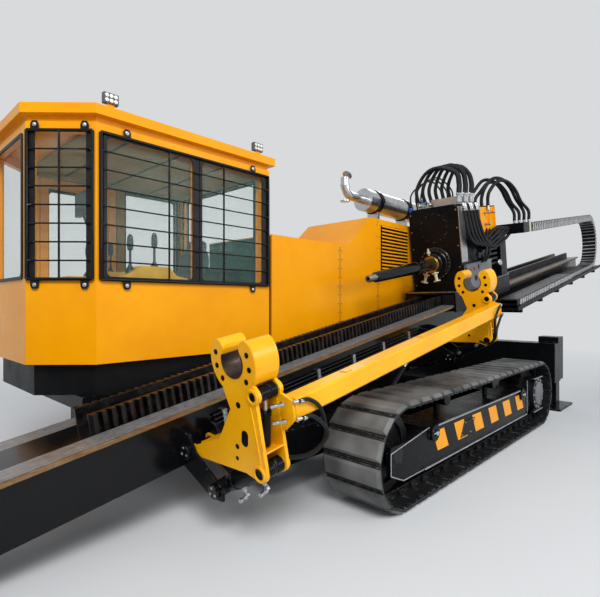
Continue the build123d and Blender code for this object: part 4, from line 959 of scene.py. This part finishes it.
def carriage_trim():
    """Guide rollers, wiper blocks and bright edges under the power head."""
    rollers, blocks, edges = shapes(
        "carriage", guide_rollers="grey", wipers="rubber", carriage_edges="bright")
    for side in (1, -1):
        for u in (-3.28, -3.75, -4.65, -5.1):
            roller = [(0, 0.05), (0.004, 0.066), (0.07, 0.066), (0.074, 0.05), (0.1, 0.02)]
            rollers.lathe((u, side * 0.225, 0.075), (0, side, 0), roller, 28)
        for u in (-3.155, -5.25):
            blocks.box((u - 0.001, u + 0.004), off(0, side, 0.19, 0.36), (0.012, 0.14))
        edges.box((-5.23, -3.17), off(0, side, 0.385, 0.388), (0.1825, 0.19))
    edges.box((-3.15, -3.146), (-0.37, 0.37), (0.176, 0.19))


def rear_motors():
    """Yellow port bracket, motor housings and gauge behind the gear case."""
    plate, motor, gauge, ends = shapes(
        "carriage", port_bracket=("amber", 0.003), rear_motors=("black", 0.003), pressure_gauge="bright",
        port_fittings="bright")
    plate.box((-4.68, -4.1), (0.405, 0.42), (0.93, 1.33))
    plate.box((-4.68, -4.1), (0.3, 0.42), (1.315, 1.33))
    for u in (-4.62, -4.42):
        plate.box((u, u + 0.02), (0.42, 0.45), (0.95, 1.3))
    housing = [(0, 0.12), (0.01, 0.13), (0.2, 0.13), (0.21, 0.105), (0.45, 0.105), (0.46, 0.12), (0.52, 0.12),
               (0.53, 0.08)]
    for u, w in ((-3.98, 0.62), (-4.13, 0.95)):
        motor.lathe((u, 0.27, w), (-1, 0, 0), housing, 32)
    for i in range(6):
        motor.box((-4.7, -4.12), (0.36, 0.41), (0.42 + i * 0.075, 0.45 + i * 0.075))
    gauge.lathe((-4.72, 0.4, 0.42), (0.2, 1, 0.2), [(0, 0.03), (0.02, 0.05), (0.05, 0.05), (0.056, 0.044)])
    for u, w in ((-4.25, 1.22), (-4.45, 1.22), (-4.25, 1.05)):
        crimp(ends, (u, 0.43, w), (0, 1, 0.1), 0.02, 0.05)


def head_hoses():
    """Guarded hoses in arches over the power head, hanging loops beside it and the run to the chain."""
    hose, thin, ends = shapes(
        "carriage", head_hoses=("rubber", 0, "hoses"), thin_hoses="rubber", hose_fittings="bright")

    def shift(p, *by):
        return Vector(p) + Vector(by)

    # Arches from the valves at the left over to a bank of fittings
    for i in range(6):
        at = Vector((-3.5 - 0.105 * i, 0.36 - 0.02 * (i % 2), 1.4))
        crimp(ends, at, (0, 0.12, 1), 0.028, 0.1)
        crimp(ends, shift(at, -0.02, 0.055, -0.02), (0, 0.3, -1), 0.024, 0.09)
        end = shift(at, 0, 0.012, 0.13)
        foot = Vector((-3.52 - 0.05 * i, -0.24 + 0.075 * i, 1.44))
        top = 1.955 - 0.012 * abs(i - 3)
        crimp(ends, shift(foot, 0, 0, -0.06), (0, -0.05, 1), 0.024, 0.07)
        rise, crest = foot.lerp(end, 0.3), foot.lerp(end, 0.6)
        wrapped_hose(hose, [foot, shift(foot, 0, -0.025, 0.22),
                            (rise.x, foot.y * 0.78 + end.y * 0.22, top - 0.05),
                            (crest.x, foot.y * 0.45 + end.y * 0.55, top), (end.x, end.y * 0.93, top - 0.11),
                            shift(end, 0, 0.012, 0.14), end])
    # Thin hoses at the far left
    for i in range(3):
        foot = Vector((-3.5 - 0.12 * i, -0.35 + 0.02 * i, 1.385))
        end = Vector((-3.86 - 0.05 * i, -0.05 + 0.06 * i, 1.4))
        path = [foot, shift(foot, 0, -0.01, 0.2), (foot.x - 0.1, -0.28, 1.72 + 0.03 * i),
                (foot.x - 0.24, -0.14, 1.78 + 0.03 * i), (end.x, end.y, 1.62), end]
        thin.tube(smooth_path(path), 0.0115)
    # Second group, from behind the bank over to the post of the chain
    for i in range(4):
        v = 0.22 + 0.075 * i
        start = Vector((-4.2 - 0.05 * i, v, 1.33))
        end = Vector((-5.4 - 0.02 * i, 0.47 + 0.07 * i, 0.99))
        top = 1.72 - 0.05 * (i % 2)
        crimp(ends, shift(start, 0, 0, -0.07), (-0.1, 0, 1), 0.024, 0.08)
        crimp(ends, shift(end, 0, 0, 0.075), (0, 0, -1), 0.024, 0.07)
        over = ((-4.42, 0.02, -0.12), (-4.68, 0.05, 0.02), (-4.98, 0.09, 0.01), (-5.2, 0.13, -0.12),
                (-5.33, 0.17, -0.32))
        path = [start, shift(start, -0.02, 0, 0.12)] + [(u, v + aside, top + rise) for u, aside, rise in over]
        wrapped_hose(hose, path + [(end.x + 0.01, end.y, 1.2), shift(end, 0, 0, 0.06)])
    # Hoses that hang from the bank beside the case and rise to the chain's end
    for i in range(5):
        start = Vector((-3.52 - 0.11 * i, 0.43, 1.31))
        end = Vector((-5.32, 0.5 + 0.045 * i, 0.93))
        depth, out, turn = 0.78 - 0.02 * i, 0.46 + 0.012 * i, -4.1 - 0.14 * i
        wrapped_hose(hose, [start, shift(start, -0.01, 0.02, -0.2), (start.x - 0.07, out, depth + 0.12),
                            ((start.x + turn) / 2, out + 0.015, depth),
                            (turn - 0.12, out + 0.01, depth + 0.09),
                            (turn - 0.5, out + 0.01, depth + 0.2), end], 0.025)
        crimp(ends, end, (-1, 0, 0), 0.024, 0.05)
    # Short loops from the valve plate into the motors
    for u in (-4.0, -4.12):
        loop = ((0, 0.44, 0.5), (0.02, 0.5, 0.62), (0.08, 0.5, 0.8), (0.2, 0.46, 0.9), (0.3, 0.42, 0.98))
        wrapped_hose(hose, [(u - a, v, w) for a, v, w in loop], 0.019)


# Cab
CAB_X = (1.5, 3.7)
CAB_IN, CAB_OUT = -0.45, -2.2
CHAMFER = 0.385
SHOULDER = CAB_X[1] - CHAMFER
CAB_WALL = 0.06
WINDOW_Z = (1.79, 2.93)
WINDOW_SPLIT = 2.4
SEAT_AT = (2.12, -1.325)
LAMP_X, LAMP_Z = (1.62, 3.18), 3.14
CORNER_AT = (CAB_X[1] - CHAMFER / 2, CAB_IN - CHAMFER / 2, 0)
CORNER = Matrix.Translation(CORNER_AT) @ Matrix.Rotation(pi / 4, 4, "Z")
CORNER_WIDTH = CHAMFER * sqrt(2)


def rounded_outline(across, height, grow, r):
    """A rectangle grown on all sides, with rounded corners."""
    a0, a1, z0, z1 = across[0] - grow + r, across[1] + grow - r, height[0] - grow + r, height[1] + grow - r
    outline = []
    for centre, first in (((a1, z0), -90), ((a1, z1), 0), ((a0, z1), 90), ((a0, z0), 180)):
        outline += arc(centre, r, first, first + 90, 5)
    return outline


def window_frame(shape, axis, across, height, face, way, wide=0.02, lift=0.012):
    """A gasket round a window, its corners rounded."""
    outer, inner = rounded_outline(across, height, 0.006, 0.03), rounded_outline(across, height, -wide, 0.04)
    shape.band(axis, outer, inner, (face, face + way * lift))


def cab_windows():
    """Black gaskets on the faces of every window."""
    gaskets, = shapes("chassis", window_gaskets=("rubber", 0.003))
    door = (CAB_X[0] + 0.09, 2.31)
    back = (CAB_OUT + 0.16, CAB_IN - 0.16)
    for axis, across, face, way in (("Y", (CAB_X[0] + 0.09, WINDOW_SPLIT - 0.03), CAB_IN, 1),
                                    ("Y", (WINDOW_SPLIT + 0.03, SHOULDER - 0.06), CAB_IN, 1),
                                    ("Y", door, CAB_OUT, -1), ("Y", door, CAB_OUT + CAB_WALL, 1),
                                    ("X", back, CAB_X[0], -1), ("X", back, CAB_X[0] + CAB_WALL, 1),
                                    ("X", (CAB_OUT + CHAMFER + 0.06, CAB_IN - CHAMFER - 0.06), CAB_X[1], 1)):
        window_frame(gaskets, axis, across, WINDOW_Z, face, way)
    low, high = WINDOW_Z[0] - 0.004, WINDOW_Z[1] + 0.004
    for x in ((CAB_X[0] + 0.03, CAB_X[0] + 0.096), (WINDOW_SPLIT - 0.036, WINDOW_SPLIT + 0.036),
              (SHOULDER - 0.068, SHOULDER - 0.02)):
        gaskets.box(x, (CAB_IN, CAB_IN + 0.006), (low, high))
    for side in (1, -1):
        a, b = side * (CORNER_WIDTH / 2 - 0.075), side * (CORNER_WIDTH / 2 - 0.02)
        strip = ((0, a), (0, b), (0.006, b), (0.006, a))
        points = [CORNER @ Vector((x, y, z)) for z in (low, high) for x, y in strip]
        gaskets.faces(points,
                      [(0, 1, 2, 3), (7, 6, 5, 4), (0, 4, 5, 1), (1, 5, 6, 2), (2, 6, 7, 3), (3, 7, 4, 0)])


def door_trim():
    """Gasket of the door's pane, and its handle."""
    gasket, handle = shapes("door", door_gasket=("rubber", 0.002), door_handle=("black", 0.003))
    (x0, _, z0), (x1, _, z1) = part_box("cab_door_glass")
    face = max(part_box("cab_door")[0][1], CAB_OUT - 0.02)
    window_frame(gasket, "Y", (x0, x1), (z0, z1), face, -1, 0.03, 0.01)
    z = (z0 + z1) / 2 - 0.35
    handle.box((x1 + 0.02, x1 + 0.06), (face - 0.008, face), (z - 0.09, z + 0.09))
    handle.box((x1 + 0.028, x1 + 0.052), (face - 0.022, face - 0.008), (z - 0.02, z + 0.07))


def tube_guard(shape, bolts, place, width, bars, posts):
    """A guard of round tubes in a frame, on tabs with bolts."""
    low, high = WINDOW_Z[0] - 0.005, WINDOW_Z[1] + 0.005
    half = width / 2

    def at(a, z, out=0.02):
        return place @ Vector((out, a, z))

    corners = [at(-half, low), at(half, low), at(half, high), at(-half, high)]
    for a, b in zip(corners, corners[1:] + corners[:1]):
        shape.rod(a, b, 0.0135, 12)
    for i in range(bars):
        z = low + (high - low) * (i + 1) / (bars + 1)
        shape.rod(at(-half, z), at(half, z), 0.0065, 8)
    for i in range(posts):
        a = -half + width * (i + 1) / (posts + 1)
        shape.rod(at(a, low, 0.028), at(a, high, 0.028), 0.0085, 8)
    way = place.to_3x3() @ Vector((1, 0, 0))
    outline = ((-0.032, -0.005), (0.032, -0.005), (0.032, 0.05), (0.018, 0.075), (-0.018, 0.075),
               (-0.032, 0.05))
    rim = [(i, (i + 1) % 6, (i + 1) % 6 + 6, i + 6) for i in range(6)]
    for a in (-half + width * 0.12, half - width * 0.12):
        for z, flip in ((low, -1), (high, 1)):
            tab = [at(a + dx, z + flip * dz, out) for out in (0.012, 0.02) for dx, dz in outline]
            shape.faces(tab, [tuple(range(6)), tuple(range(11, 5, -1))] + rim)
            bolts.bolt(at(a, z + flip * 0.045), way, 0.012)


def cab_guards():
    """Tube guards on the side wall and on the chamfered corner."""
    guards, bolts = shapes("chassis", window_guards=("gloss_black", 0, "cab_guards"), guard_bolts="bright")
    side = Matrix.Translation(((SHOULDER + CAB_X[0]) / 2, CAB_IN, 0)) @ Matrix.Rotation(pi / 2, 4, "Z")
    tube_guard(guards, bolts, side, SHOULDER - CAB_X[0] - 0.06, 7, 2)
    tube_guard(guards, bolts, CORNER, CORNER_WIDTH - 0.04, 7, 1)


def cab_inside():
    """Lining panels, ceiling, pillars, levers and boxes seen through the glass."""
    lining, dark, yellow, levers, steel = shapes(
        "chassis", cab_lining=("lining", 0.004), cab_fittings=("plastic", 0.006),
        control_boxes=("console", 0.012), levers="plastic", cab_handrail="black")
    x0, floor, sill, ceiling = CAB_X[0] + CAB_WALL, 1.16, 1.75, (2.93, 2.99)
    far, near = CAB_OUT + CAB_WALL, CAB_IN - CAB_WALL
    panel = (far, far + 0.02)
    for x, y, z in (((x0, x0 + 0.03), panel, (floor, 2.95)), ((2.31, 2.4), panel, (floor, 2.95)),
                    ((x0, 2.4), panel, (floor, sill)), ((x0, SHOULDER), panel, ceiling),
                    ((x0, x0 + 0.02), (far, near), (floor, sill)), ((x0, x0 + 0.02), (far, near), ceiling),
                    ((x0, SHOULDER), (far, near), (2.985, 3.0)),
                    ((x0, SHOULDER), (near - 0.015, near), (floor, sill - 0.01))):
        lining.box(x, y, z)
    for x in (x0 + 0.4, x0 + 0.9, x0 + 1.4):
        dark.box((x, x + 0.02), (far, near), (2.975, 2.985))
    # Yellow side boxes, levers and handrail
    box = [(2.3, 1.5), (2.95, 1.5), (2.95, 1.82), (2.78, 1.94), (2.5, 1.94), (2.42, 1.86), (2.3, 1.84)]
    lever = [(0, 0.05), (0.02, 0.045), (0.05, 0.025), (0.08, 0.012), (0.2, 0.011), (0.21, 0.024),
             (0.25, 0.03), (0.31, 0.028), (0.34, 0.02), (0.35, 0.01)]
    for y in (-1.95, -0.98):
        yellow.prism("Y", box, (y, y + 0.22))
        yellow.box((2.34, 2.9), (y + 0.03, y + 0.19), (1.15, 1.5))
        for x, z in ((2.6, 1.92), (2.84, 1.88)):
            levers.lathe((x, y + 0.11, z), (0, 0, 1), lever, 18)
    rail = [(2.05, -2.05, 1.75), (2.05, -2.04, 1.86), (2.1, -2.03, 1.9), (2.24, -2.03, 1.9),
            (2.29, -2.04, 1.86), (2.29, -2.05, 1.75)]
    steel.tube(smooth_path(rail), 0.014, 12)
    cabinet = [(0.02, 1.16), (0.36, 1.16), (0.36, 1.7), (0.3, 1.76), (0.02, 1.76)]
    yellow.prism("Y", [(x0 + a, z) for a, z in cabinet], (far + 0.3, near - 0.25))
    screen = [(0.03, 1.76), (0.33, 1.76), (0.3, 1.98), (0.06, 1.98)]
    dark.prism("Y", [(x0 + a, z) for a, z in screen], (far + 0.35, near - 0.3))
    arm = [(3.1, -0.9, 1.82), (3.14, -0.88, 2.0), (3.2, -0.86, 2.2), (3.26, -0.86, 2.36)]
    dark.tube(smooth_path(arm), 0.012)
    dark.box((3.2, 3.24), (-1.1, -0.82), (2.36, 2.56))


def crowned(p):
    """A point of a cube from -1 to 1, moved onto the crowned and grooved form of a pad."""
    x2, y2 = p.x ** 2, p.y ** 2
    x4, y4, z4 = x2 ** 2, y2 ** 2, p.z ** 4
    groove = 0.02 * sum(max(0.0, 1 - abs(p.y - line) / 0.08) for line in (-0.45, 0.45))
    return (p.x * (1 - 0.10 * y4 - 0.08 * z4) * (1 - groove), p.y * (1 - 0.07 * x4 - 0.08 * z4),
            p.z * (1 - 0.16 * x4 - 0.16 * y4) * (1 + 0.10 * (1 - x2) * (1 - y2)) * (1 - groove * 2))


def seat():
    """Operator's seat: crowned cushion, back, headrest and armrests on a sprung base."""
    x, y = SEAT_AT
    base, trim = shapes("chassis", seat_base=("black", 0.006), seat_armrests=("plastic", 0.02))
    base.box((x - 0.22, x + 0.22), (y - 0.2, y + 0.2), (1.15, 1.2))
    for i in range(6):
        base.box((x - 0.19, x + 0.19), (y - 0.17, y + 0.17), (1.2 + i * 0.045, 1.232 + i * 0.045))
    base.box((x - 0.24, x + 0.24), (y - 0.22, y + 0.22), (1.48, 1.52))
    for side in (1, -1):
        trim.box((x - 0.2, x + 0.16), off(y, side, 0.25, 0.31), (1.8, 1.86))
        trim.rod((x - 0.16, y + side * 0.27, 1.6), (x - 0.16, y + side * 0.27, 1.81), 0.016)
    for name, at, half, lean in (("seat_cushion", (x + 0.02, y, 1.585), (0.26, 0.25, 0.07), 0),
                                 ("seat_back", (x - 0.23, y, 1.92), (0.075, 0.235, 0.3), -8),
                                 ("seat_headrest", (x - 0.285, y, 2.225), (0.06, 0.14, 0.085), -8)):
        mesh = bmesh.new()
        bmesh.ops.create_cube(mesh, size=2.0)
        bmesh.ops.subdivide_edges(mesh, edges=mesh.edges, cuts=9, use_grid_fill=True)
        for vert in mesh.verts:
            vert.co = crowned(vert.co)
        place = Matrix.Translation(at) @ Matrix.Rotation(radians(lean), 4, "Y") @ Matrix.Diagonal((*half, 1))
        bmesh.ops.transform(mesh, matrix=place, verts=mesh.verts)
        pad = into_piece(mesh, name, "fabric", "chassis", ["cab_seat"])
        smooth = pad.modifiers.new("smooth", "SUBSURF")
        smooth.levels = smooth.render_levels = 1


def roof_lamps():
    """Work lamps with ribbed bodies and lens frames on the roof edge."""
    body, lens, foot = shapes(
        "chassis", lamp_bodies=("grey", 0.003, "work_lamps"), lamp_lenses="lamp", lamp_feet=("amber", 0.002))
    y, z = CAB_IN - 0.05, LAMP_Z
    for x in LAMP_X:
        foot.box((x - 0.035, x + 0.035), (y - 0.03, y + 0.03), (z, z + 0.008))
        foot.box((x - 0.03, x + 0.03), (y - 0.004, y + 0.004), (z + 0.008, z + 0.07))
        body.box((x - 0.06, x + 0.06), (y - 0.028, y + 0.016), (z + 0.062, z + 0.146))
        for i in range(5):
            body.box((x - 0.055 + i * 0.025, x - 0.047 + i * 0.025), (y - 0.038, y - 0.028),
                     (z + 0.066, z + 0.142))
        for dx in (-0.036, 0, 0.036):
            for dz in (0.085, 0.123):
                lens.lathe((x + dx, y + 0.0165, z + dz), (0, 1, 0),
                           [(0, 0.016), (0.004, 0.016), (0.008, 0.009)], 16)


# Studio
CAMERA_AT = (4.744, 3.115, 1.6)
CAMERA_WAY = Vector((-0.722, -0.692, 0.0))
FLOOR_REACH = 60.0
FLOOR_FADE = (4.5, 13.0)


def stand(name, data, at=(0, 0, 0), way=None):
    """An object of the studio, turned to face along a way."""
    thing = bpy.data.objects.new(name, data)
    thing.location = at
    if way:
        thing.rotation_euler = way.to_track_quat("-Z", "Y").to_euler()
    bpy.context.scene.collection.objects.link(thing)
    return thing


def set_camera():
    lens = bpy.data.cameras.new("camera")
    lens.lens = 27.0
    lens.sensor_width = 36.0
    lens.shift_y = 0.0075
    lens.clip_end = 400.0
    bpy.context.scene.camera = stand("camera", lens, CAMERA_AT, CAMERA_WAY)


def area_light(name, at, target, size, power):
    lamp = bpy.data.lights.new(name, "AREA")
    lamp.shape = "RECTANGLE"
    lamp.size, lamp.size_y = size
    lamp.energy = power
    stand(name, lamp, at, Vector(target) - Vector(at))


def set_world():
    """A pale surround for the camera, metal and glass, and an even soft sky for the light."""
    world = bpy.data.worlds.new("studio")
    bpy.context.scene.world = world
    world.use_nodes = True
    tree = world.node_tree
    seen, path, mixer = (tree.nodes.new("ShaderNode" + kind)
                         for kind in ("Background", "LightPath", "MixShader"))
    seen.inputs["Color"].default_value = linear(BACKGROUND)
    sky = tree.nodes["Background"]
    sky.inputs["Color"].default_value = linear(SKY)
    sky.inputs["Strength"].default_value = 0.5
    shown = path.outputs["Is Camera Ray"]
    for ray in ("Is Glossy Ray", "Is Transmission Ray"):
        either = tree.nodes.new("ShaderNodeMath")
        either.operation = "MAXIMUM"
        tree.links.new(shown, either.inputs[0])
        tree.links.new(path.outputs[ray], either.inputs[1])
        shown = either.outputs[0]
    for i, socket in enumerate((shown, sky.outputs[0], seen.outputs[0])):
        tree.links.new(socket, mixer.inputs[i])
    tree.links.new(mixer.outputs[0], tree.nodes["World Output"].inputs["Surface"])


def set_floor():
    """A pale floor that fades out round the machine."""
    r = FLOOR_REACH
    data = bpy.data.meshes.new("floor")
    data.from_pydata([(-r, -r, 0), (r, -r, 0), (r, r, 0), (-r, r, 0)], [], [(0, 1, 2, 3)])
    g = Graph("floor_finish")
    away = g.node("VectorMath", {0: g.place}, operation="LENGTH").outputs["Value"]
    g.set(Base_Color=g.mix(g.noise(0.6, 2), (214, 216, 218), (219, 221, 223)), Roughness=0.9,
          Specular_IOR_Level=0.1, Alpha=g.remap(away, *FLOOR_FADE, 1.0, 0.0))
    data.materials.append(g.material)
    stand("floor", data)


# Finishes of the CAD nodes
CAD_FINISHES = {
    "amber": "cab_shell cab_roof cab_door hood louvre_panels",
    "amber_worn": "arm_front arm_rear arm_link",
    "black": "track_frame_left track_frame_right chassis_frame deck_frame rear_frame leg_left leg_right "
             "arm_brackets chain_post vise_clamp vise_wrench front_foot drive_motors arm_barrels lift_barrels "
             "carriage_frame gearbox",
    "black_flat": "cab_base chain_tray energy_chain_lower energy_chain_upper energy_chain_bend",
    "gloss_black": "main_beam spindle cab_guards",
    "track": "track_left track_right idler_left idler_right sprocket_left sprocket_right",
    "rack": "rack_left rack_right",
    "chrome": "arm_rods lift_rods muffler exhaust_pipe",
    "bright": "manifold",
    "glass": "cab_glass cab_door_glass",
    "fabric": "cab_seat",
    "rubber": "hoses",
    "grey": "valve_panel engine_block",
    "console": "cab_console",
    "plastic": "work_lamps",
}

bpy.context.scene.view_settings.view_transform = "Standard"
set_camera()
set_world()
set_floor()
area_light("key", (7.5, 7.5, 9.0), (0.5, 0, 1.2), (5, 4), 1150)
area_light("fill", (-3.0, 10.0, 5.0), (-1.0, 0, 1.0), (6, 3), 300)
area_light("back", (-9.0, -6.0, 8.0), (-2.0, 0, 1.5), (6, 4), 400)
for finish, names in CAD_FINISHES.items():
    dress(finish, *names.split())
for side, word in ((1, "left"), (-1, "right")):
    track(side, word)
    track_trim(side, word)
arm_sheets()
for u, word in zip(ARM_U, ("front", "rear")):
    arm_trim(u, word)
    arm_foot_trim(u, word)
for build in (arm_link_trim, guide_trim, beam_pipes, energy_chain, power_head, spindle, valve_plate,
              carriage_trim, rear_motors, head_hoses, cab_windows, door_trim, cab_guards, cab_inside, seat,
              roof_lamps, hood_trim, exhaust_trim):
    build()
for shape in Shape.made:
    shape.close()
